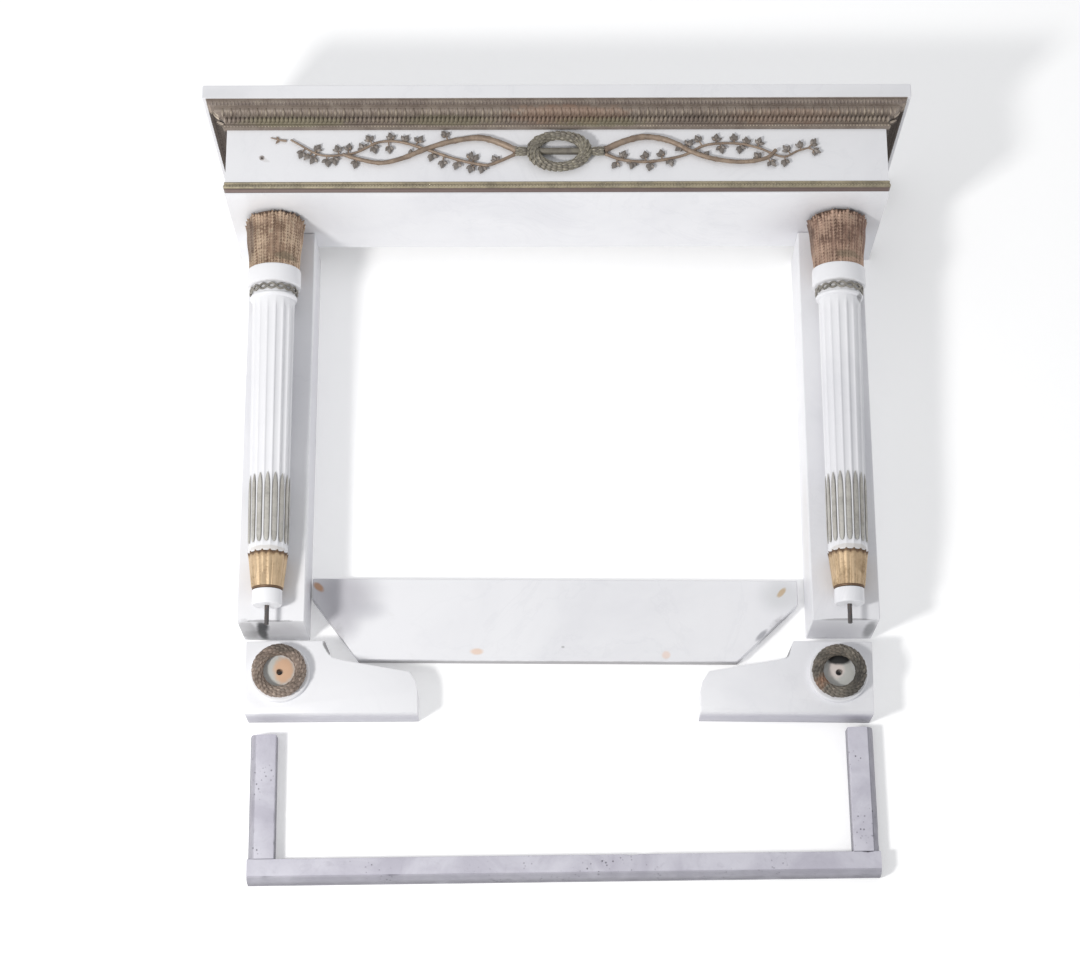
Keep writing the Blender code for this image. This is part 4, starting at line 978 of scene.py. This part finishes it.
# Bead moulding
# A gilt bronze bead and a plain fillet run along the foot of the frieze and round its returns, let into a rebate.
# The gilding stays bright on the beads and has gone brown below them.
def run_round(section, wall):
    """Draws a section along both returns and the front, mitred; its points are (out, height above the jambs' foot)."""
    piece = outline([(-frieze_half - out, foot_y + height, wall) for out, height in section])
    pull(lambda co: Vector((co.x, co.y, frieze_front - co.x - frieze_half)))
    pull(lambda co: Vector((-co.x, co.y, co.z)))
    pull(lambda co: Vector((co.x, co.y, wall)))
    bpy.ops.object.mode_set(mode="OBJECT")
    close_up(piece, 30)
    return piece


def along_run(pitch, out, height, wall=0.004):
    """Places along the run of a moulding, spaced as near the pitch as fits: +X along it, +Y up, +Z out of it."""
    spots = []
    reach = frieze_half + out
    front_count = round(2 * reach / pitch)
    for index in range(front_count):
        x = -reach + (index + 0.5) * 2 * reach / front_count
        spots.append(Matrix.Translation((x, foot_y + height, frieze_front + out)))
    side_count = round((frieze_front + out - wall) / pitch)
    for side in (-1, 1):
        for index in range(side_count):
            z = wall + (index + 0.5) * (frieze_front + out - wall) / side_count
            spots.append(Matrix.Translation((side * reach, foot_y + height, z))
                         @ Matrix.Rotation(side * math.pi / 2, 4, "Y"))
    return spots


# Painted shade darkens the moulding's returns nearly to black, below shade_below.
bead_gilt = bronze("bead_moulding_gilt", (0.27, 0.235, 0.170, 1), (0.34, 0.300, 0.220, 1), (0.52, 0.45, 0.31, 1), 0.45,
                   patina=(0.22, 0.19, 0.165, 1), green=0.40, rough=0.46, metal=0.50, hollows=0.88,
                   pit=(0.200, 0.145, 0.140, 1), shade_below=0.3150)
bead_foot = jamb_height + 0.0025 + gap
bead_top = jamb_height + 0.0255 - gap
bead_level = bead_top - 0.0085
section = [(-0.0057, bead_foot), (-0.0057, bead_top), (0.0012, bead_top), (0.0018, bead_top - 0.0010),
           (0.0018, bead_top - 0.0030), (0.0008, bead_top - 0.0042), (0.0022, bead_level + 0.0022),
           (0.0026, bead_level), (0.0022, bead_level - 0.0022), (0.0008, bead_level - 0.0043),
           (0.0016, bead_level - 0.0052), (0.0016, bead_level - 0.0062), (-0.0004, bead_foot + 0.0066),
           (-0.0014, bead_foot + 0.0050), (-0.0024, bead_foot + 0.0030), (-0.0030, bead_foot + 0.0012),
           (-0.0030, bead_foot)]
moulding = run_round(section, 0.001)
raised = moulding.data.attributes.new("raised", "FLOAT", "POINT")
for corner in moulding.data.vertices:
    raised.data[corner.index].value = 0.9 if corner.co.y > foot_y + bead_level - 0.0056 else 0.0
bead = ball(0.0031)
beads = lay_out(bead, along_run(0.0063, 0.0012, bead_level))
away(bead)
moulding = gather([moulding, *beads])
hand_over(moulding, "bronze_bead_moulding", bead_gilt, "frieze_bead_moulding")


# Frieze wreath and branches
# The mount of the frieze is bronze: an oval laurel wreath tied across a straight stem, and two wavy branches with
# small leaves and berries, pinned to the marble. The left branch's outer end has come apart, and its tip is loose.
THICK_LEFT = [(-0.079, 0.0895), (-0.116, 0.1075), (-0.154, 0.1175), (-0.207, 0.1100), (-0.258, 0.0935),
              (-0.305, 0.0730), (-0.346, 0.0635), (-0.388, 0.0710), (-0.421, 0.0820)]
THIN_LEFT = [(-0.081, 0.0830), (-0.128, 0.0610), (-0.150, 0.0600), (-0.201, 0.0727), (-0.258, 0.0935),
             (-0.310, 0.1100), (-0.353, 0.1085), (-0.398, 0.0860), (-0.445, 0.0799), (-0.473, 0.0843),
             (-0.507, 0.1040), (-0.525, 0.1150)]
LEAVES_LEFT = [(-0.124, 0.0740), (-0.147, 0.0480), (-0.161, 0.0780), (-0.170, 0.0820), (-0.169, 0.0490),
               (-0.197, 0.0560), (-0.226, 0.0600), (-0.221, 0.1290), (-0.246, 0.0740), (-0.270, 0.1180),
               (-0.298, 0.1200), (-0.290, 0.0870), (-0.327, 0.1245), (-0.330, 0.0920), (-0.357, 0.0920),
               (-0.371, 0.1200), (-0.385, 0.1020), (-0.399, 0.0600), (-0.412, 0.1010), (-0.432, 0.0980),
               (-0.452, 0.0630), (-0.437, 0.0660), (-0.470, 0.0990), (-0.491, 0.0750), (-0.506, 0.0820),
               (-0.482, 0.0690)]
TIP_LEFT = [(-0.5335, 0.1135), (-0.548, 0.1155), (-0.565, 0.1205)]
THICK_RIGHT = [(0.093, 0.0900), (0.130, 0.1080), (0.169, 0.1185), (0.205, 0.1150), (0.235, 0.1040),
               (0.263, 0.0876), (0.306, 0.0714), (0.362, 0.0640), (0.410, 0.0711), (0.432, 0.0900)]
THIN_RIGHT = [(0.095, 0.0830), (0.124, 0.0710), (0.158, 0.0660), (0.195, 0.0670), (0.249, 0.0790),
              (0.293, 0.1010), (0.350, 0.1050), (0.395, 0.0960), (0.444, 0.0760), (0.474, 0.0880),
              (0.500, 0.0960)]
LEAVES_RIGHT = [(0.114, 0.0567), (0.132, 0.0840), (0.146, 0.0570), (0.174, 0.0828), (0.183, 0.0530),
                (0.205, 0.0860), (0.223, 0.0620), (0.240, 0.0930), (0.263, 0.1090), (0.277, 0.1170),
                (0.293, 0.0850), (0.315, 0.1200), (0.325, 0.0900), (0.350, 0.1200), (0.362, 0.0900),
                (0.376, 0.1130), (0.395, 0.0810), (0.402, 0.1110), (0.425, 0.0590), (0.449, 0.0610),
                (0.452, 0.0960), (0.478, 0.1040), (0.509, 0.1080), (0.513, 0.0860)]


def on_frieze(points, lift):
    """Drawn points as places above the frieze's face."""
    return [Vector((x, soffit_y + y, frieze_front + 0.0006 + lift)) for x, y in points]


def eased(points, steps):
    """A smooth curve through the points, with so many steps to a stretch."""
    ends = [points[0], *points, points[-1]]
    path = []
    for a, b, c, d in zip(ends, ends[1:], ends[2:], ends[3:]):
        for step in range(steps):
            t = step / steps
            path.append(0.5 * (2 * b + (c - a) * t + (2 * a - 5 * b + 4 * c - d) * t * t
                               + (3 * b - a - 3 * c + d) * t ** 3))
    path.append(points[-1])
    return path


def stem(points, lift, radii, sides, knots, seed):
    """A branch's stem: tapering, with the knots of cut twigs."""
    rng = random.Random(seed)
    path = eased(on_frieze(points, lift), 8)
    reach = []
    for index in range(len(path)):
        share = index / (len(path) - 1)
        swell = 1 + knots * max(0.0, math.sin(index * 1.7)) ** 6 + rng.uniform(-0.04, 0.04)
        reach.append((radii[0] + (radii[1] - radii[0]) * share) * swell)
    return tube(path, reach, sides), path


def sprigs(spots, path, seed):
    """At each spot a small fan of broad leaves and perhaps a berry, on a short stalk from the nearest stem."""
    rng = random.Random(seed)
    model = leaf(0.0155, 0.0108, 0.0010, rows=6, cup=0.22, curl=0.16, rib=0.16)
    small = leaf(0.0120, 0.0086, 0.0009, cup=0.22, curl=0.18, rib=0.16)
    for pattern in (model, small):
        leafy = pattern.data.attributes.new("leafy", "FLOAT", "POINT")
        for corner in pattern.data.vertices:
            leafy.data[corner.index].value = 1.0
    berry = ball(0.0026)
    parts = []
    for spot in spots:
        root = min(path, key=lambda point: (point - spot).length)
        along = Vector((spot.x - root.x, spot.y - root.y, 0)).normalized()
        foot = spot - along * 0.0082
        middle = (root + foot) / 2 + Vector((0, 0, 0.001))
        parts.append(tube([root, middle, foot, spot], [0.0017, 0.0015, 0.0014, 0.0010], 6))
        heading = math.atan2(along.y, along.x) - math.pi / 2
        for spread, pattern, tilt in ((0.0, model, 0.10), (0.95, small, 0.20), (-0.90, small, 0.20)):
            turn = heading + spread + rng.uniform(-0.30, 0.30)
            lay = (Matrix.Translation(foot) @ Matrix.Rotation(turn, 4, "Z")
                   @ Matrix.Rotation(rng.uniform(0.0, tilt), 4, "X")
                   @ Matrix.Rotation(rng.uniform(-0.35, 0.35), 4, "Y"))
            parts += lay_out(pattern, [lay])
        if rng.random() < 0.5:
            beside = Vector((-along.y, along.x, 0)) * rng.choice((-0.0040, 0.0040))
            parts += lay_out(berry, [Matrix.Translation(foot + beside + along * 0.002 + Vector((0, 0, 0.0012)))])
    away(model, small, berry)
    return parts


branch_bronze = bronze("branch_bronze", (0.26, 0.195, 0.150, 1), (0.38, 0.290, 0.220, 1), (0.58, 0.44, 0.32, 1), 0.50,
                       patina=(0.30, 0.29, 0.26, 1), green=0.40, rough=0.48, scale=1.6, metal=0.45,
                       leafage=(0.25, 0.235, 0.225, 1))
for word, thick_line, thin_line, leaves in (
        ("left", THICK_LEFT, THIN_LEFT, LEAVES_LEFT), ("right", THICK_RIGHT, THIN_RIGHT, LEAVES_RIGHT)):
    thick, thick_path = stem(thick_line, 0.0064, (0.0064, 0.0034), 12, 0.18, 2)
    thin, thin_path = stem(thin_line, 0.0045, (0.0034, 0.0019), 8, 0.22, 3)
    growth = sprigs(on_frieze(leaves, 0.0040), thick_path[2:-2] + thin_path[2:-2], 7 if word == "left" else 8)
    branch = gather([thick, thin, *growth])
    close_up(branch, 55)
    hand_over(branch, f"bronze_branch_{word}", branch_bronze, f"frieze_branch_{word}")
tip = tube(eased(on_frieze(TIP_LEFT, 0.0030), 5), [0.0026 - 0.00016 * i for i in range(11)], 8)
bud = leaf(0.0100, 0.0050, 0.0008)
buds = lay_out(bud, [Matrix.Translation(on_frieze([(-0.548, 0.1150)], 0.0030)[0]) @ Matrix.Rotation(turn, 4, "Z")
                     for turn in (0.6, 2.4)])
away(bud)
tip = gather([tip, *buds])
close_up(tip, 55)
hand_over(tip, "bronze_branch_tip", branch_bronze, "frieze_branch_left_tip")

wreath_bronze = bronze("wreath_bronze", (0.20, 0.180, 0.155, 1), (0.31, 0.285, 0.235, 1), (0.46, 0.42, 0.30, 1), 0.40,
                       patina=(0.30, 0.30, 0.285, 1), green=0.45, rough=0.48, scale=1.4, metal=0.50, hollows=0.25,
                       pit=(0.12, 0.105, 0.09, 1))
wreath_x = 0.0045
wreath_y = foot_y + 0.9030
stem_level = frieze_front + gap + 0.0100


def wreath_spot(angle):
    """The garland's middle line and its radius, stouter at the sides of the oval."""
    radius = 0.0100 + 0.0035 * math.cos(angle) ** 2
    return Vector((wreath_x + 0.0505 * math.cos(angle), wreath_y + 0.0335 * math.sin(angle),
                   frieze_front + gap + radius)), radius


oval = [wreath_spot(2 * math.pi * i / 60) for i in range(60)]
core = tube([spot for spot, _ in oval], [radius - 0.0030 for _, radius in oval], 12, cyclic=True)
path = []
for index in range(30):
    spot, radius = oval[2 * index]
    ahead = (oval[(2 * index + 1) % 60][0] - oval[2 * index - 1][0]).normalized()
    path.append((spot, ahead, radius - 0.0036))
leaves = garland(path, 9, 0.0130, 0.0088, 0.0008, 0.14, 12)
bar_line = (-0.0785, -0.0600, -0.0400, -0.013, 0.022, 0.0500, 0.0700, 0.0925)
bar = tube([Vector((x, wreath_y, stem_level)) for x in bar_line],
           [0.0058, 0.0066, 0.0070, 0.0068, 0.0070, 0.0070, 0.0066, 0.0058], 14)
for side, start in ((-1, -0.0570), (1, 0.0680)):
    bundle = [(Vector((start + side * 0.0062 * step, wreath_y, stem_level)), Vector((side, 0, 0)), 0.0060)
              for step in range(3)]
    leaves += garland(bundle, 8, 0.0130, 0.0085, 0.0008, 0.16, 20 + side)
wreath = gather([core, bar, *leaves])
close_up(wreath, 55)
hand_over(wreath, "bronze_wreath", wreath_bronze, "frieze_wreath")


# Cornice
# Cast bronze mouldings run under the shelf and round to the wall: a beaded fillet, a row of tongues, a leafy
# cyma and a row of small leaf tips against the marble. Little gilding is left, mostly on the tongues.
cornice_foot = 0.9550
cornice_top = 1.034 - 0.029 - gap
cornice_height = cornice_top - cornice_foot
cornice_reach = 0.0395
outer = [(0.0040, 0.0), (0.0070, 0.03), (0.0070, 0.16), (0.0052, 0.19), (0.0046, 0.24)]
for step in range(13):
    t = step / 12
    outer.append((0.0052 + 0.0200 * (t - math.sin(2 * math.pi * t) / (2 * math.pi)), 0.27 + 0.45 * t))
outer += [(0.0256, 0.76), (0.0320, 0.81), (0.0362, 0.86), (0.0372, 0.92), (0.0372, 0.965), (cornice_reach, 0.972),
          (cornice_reach, 1.0)]
section = [(gap, cornice_foot), *((out, cornice_foot + rise * cornice_height) for out, rise in outer),
           (gap, cornice_top)]
cornice = run_round(section, 0.001)
parts = [cornice]
seed_bead = ball(0.0021)
parts += lay_out(seed_bead, along_run(0.0062, 0.0068, cornice_foot + 0.10 * cornice_height))
tongue = leaf(0.0150, 0.0072, 0.0010, cup=0.15, curl=0.05, rib=0.18)
parts += lay_out(tongue, [spot @ Matrix.Rotation(math.radians(66), 4, "X")
                          for spot in along_run(0.0086, 0.0070, cornice_foot + 0.24 * cornice_height)])
frond = leaf(0.0165, 0.0125, 0.0010, rows=6, cup=0.30, curl=0.10, rib=0.16)
parts += lay_out(frond, [spot @ Matrix.Rotation(math.radians(42), 4, "X")
                         for spot in along_run(0.0172, 0.0160, cornice_foot + 0.45 * cornice_height)])
small_frond = leaf(0.0140, 0.0080, 0.0010, cup=0.30, curl=0.10, rib=0.16)
parts += lay_out(small_frond, [spot @ Matrix.Translation((0.0086, 0, 0)) @ Matrix.Rotation(math.radians(44), 4, "X")
                               for spot in along_run(0.0172, 0.0160, cornice_foot + 0.50 * cornice_height, 0.009)])
edge_leaf = leaf(0.0098, 0.0074, 0.0009, cup=0.20, curl=0.10, rib=0.12)
parts += lay_out(edge_leaf, [spot @ Matrix.Rotation(math.radians(52), 4, "X")
                             for spot in along_run(0.0072, 0.0308, cornice_foot + 0.78 * cornice_height)])
away(seed_bead, tongue, frond, small_frond, edge_leaf)
cornice = gather(parts)
rosy = (0.42, 0.285, 0.215, 1)
olive = (0.34, 0.325, 0.20, 1)
shade_under_shelf = (0.20, 0.165, 0.155, 1)
# Painted shade darkens the cornice's returns nearly to black, below shade_below.
cornice_bronze = bronze("cornice_bronze", (0.33, 0.270, 0.230, 1), (0.44, 0.375, 0.320, 1), (0.66, 0.57, 0.44, 1), 0.50,
                        patina=(0.36, 0.33, 0.28, 1), green=0.40, rough=0.48, metal=0.45, hollows=0.45,
                        pit=(0.15, 0.118, 0.100, 1), shade_below=0.3290, marks=[
                            ((-0.52, foot_y + 0.968, 0.340), (0.130, 0.012, 0.040), 0.0, 0.5, 0.45, olive),
                            ((-0.22, foot_y + 0.970, 0.340), (0.110, 0.012, 0.040), 0.0, 0.5, 0.40, olive),
                            ((0.02, foot_y + 0.980, 0.345), (0.150, 0.020, 0.040), 0.0, 0.6, 0.55, rosy),
                            ((0.09, foot_y + 0.966, 0.340), (0.120, 0.010, 0.040), 0.0, 0.5, 0.45, olive),
                            ((0.45, foot_y + 0.975, 0.340), (0.150, 0.016, 0.040), 0.0, 0.6, 0.35, rosy),
                            # Painted shade along the row of small leaf tips next to the shelf.
                            ((0.0, foot_y + 0.9925, 0.362), (9.0, 0.0065, 0.006), 0.0, 0.4, 0.60, shade_under_shelf)])
hand_over(cornice, "bronze_cornice", cornice_bronze, "cornice_moulding")


# Shelf
# One long slab of white marble with a square edge, a little worn and grey where it was touched most.
# It lies up against the cornice, at the head of the mantel.
redress("shelf", marble("shelf_marble", [
    ((-0.66, foot_y + 1.010, 0.366), (0.08, 0.03, 0.02), 0.0, 0.05, 0.20, (0.60, 0.60, 0.60, 1)),
    ((0.60, foot_y + 1.010, 0.366), (0.12, 0.03, 0.02), 0.0, 0.05, 0.15, (0.62, 0.62, 0.62, 1)),
]))

begin()
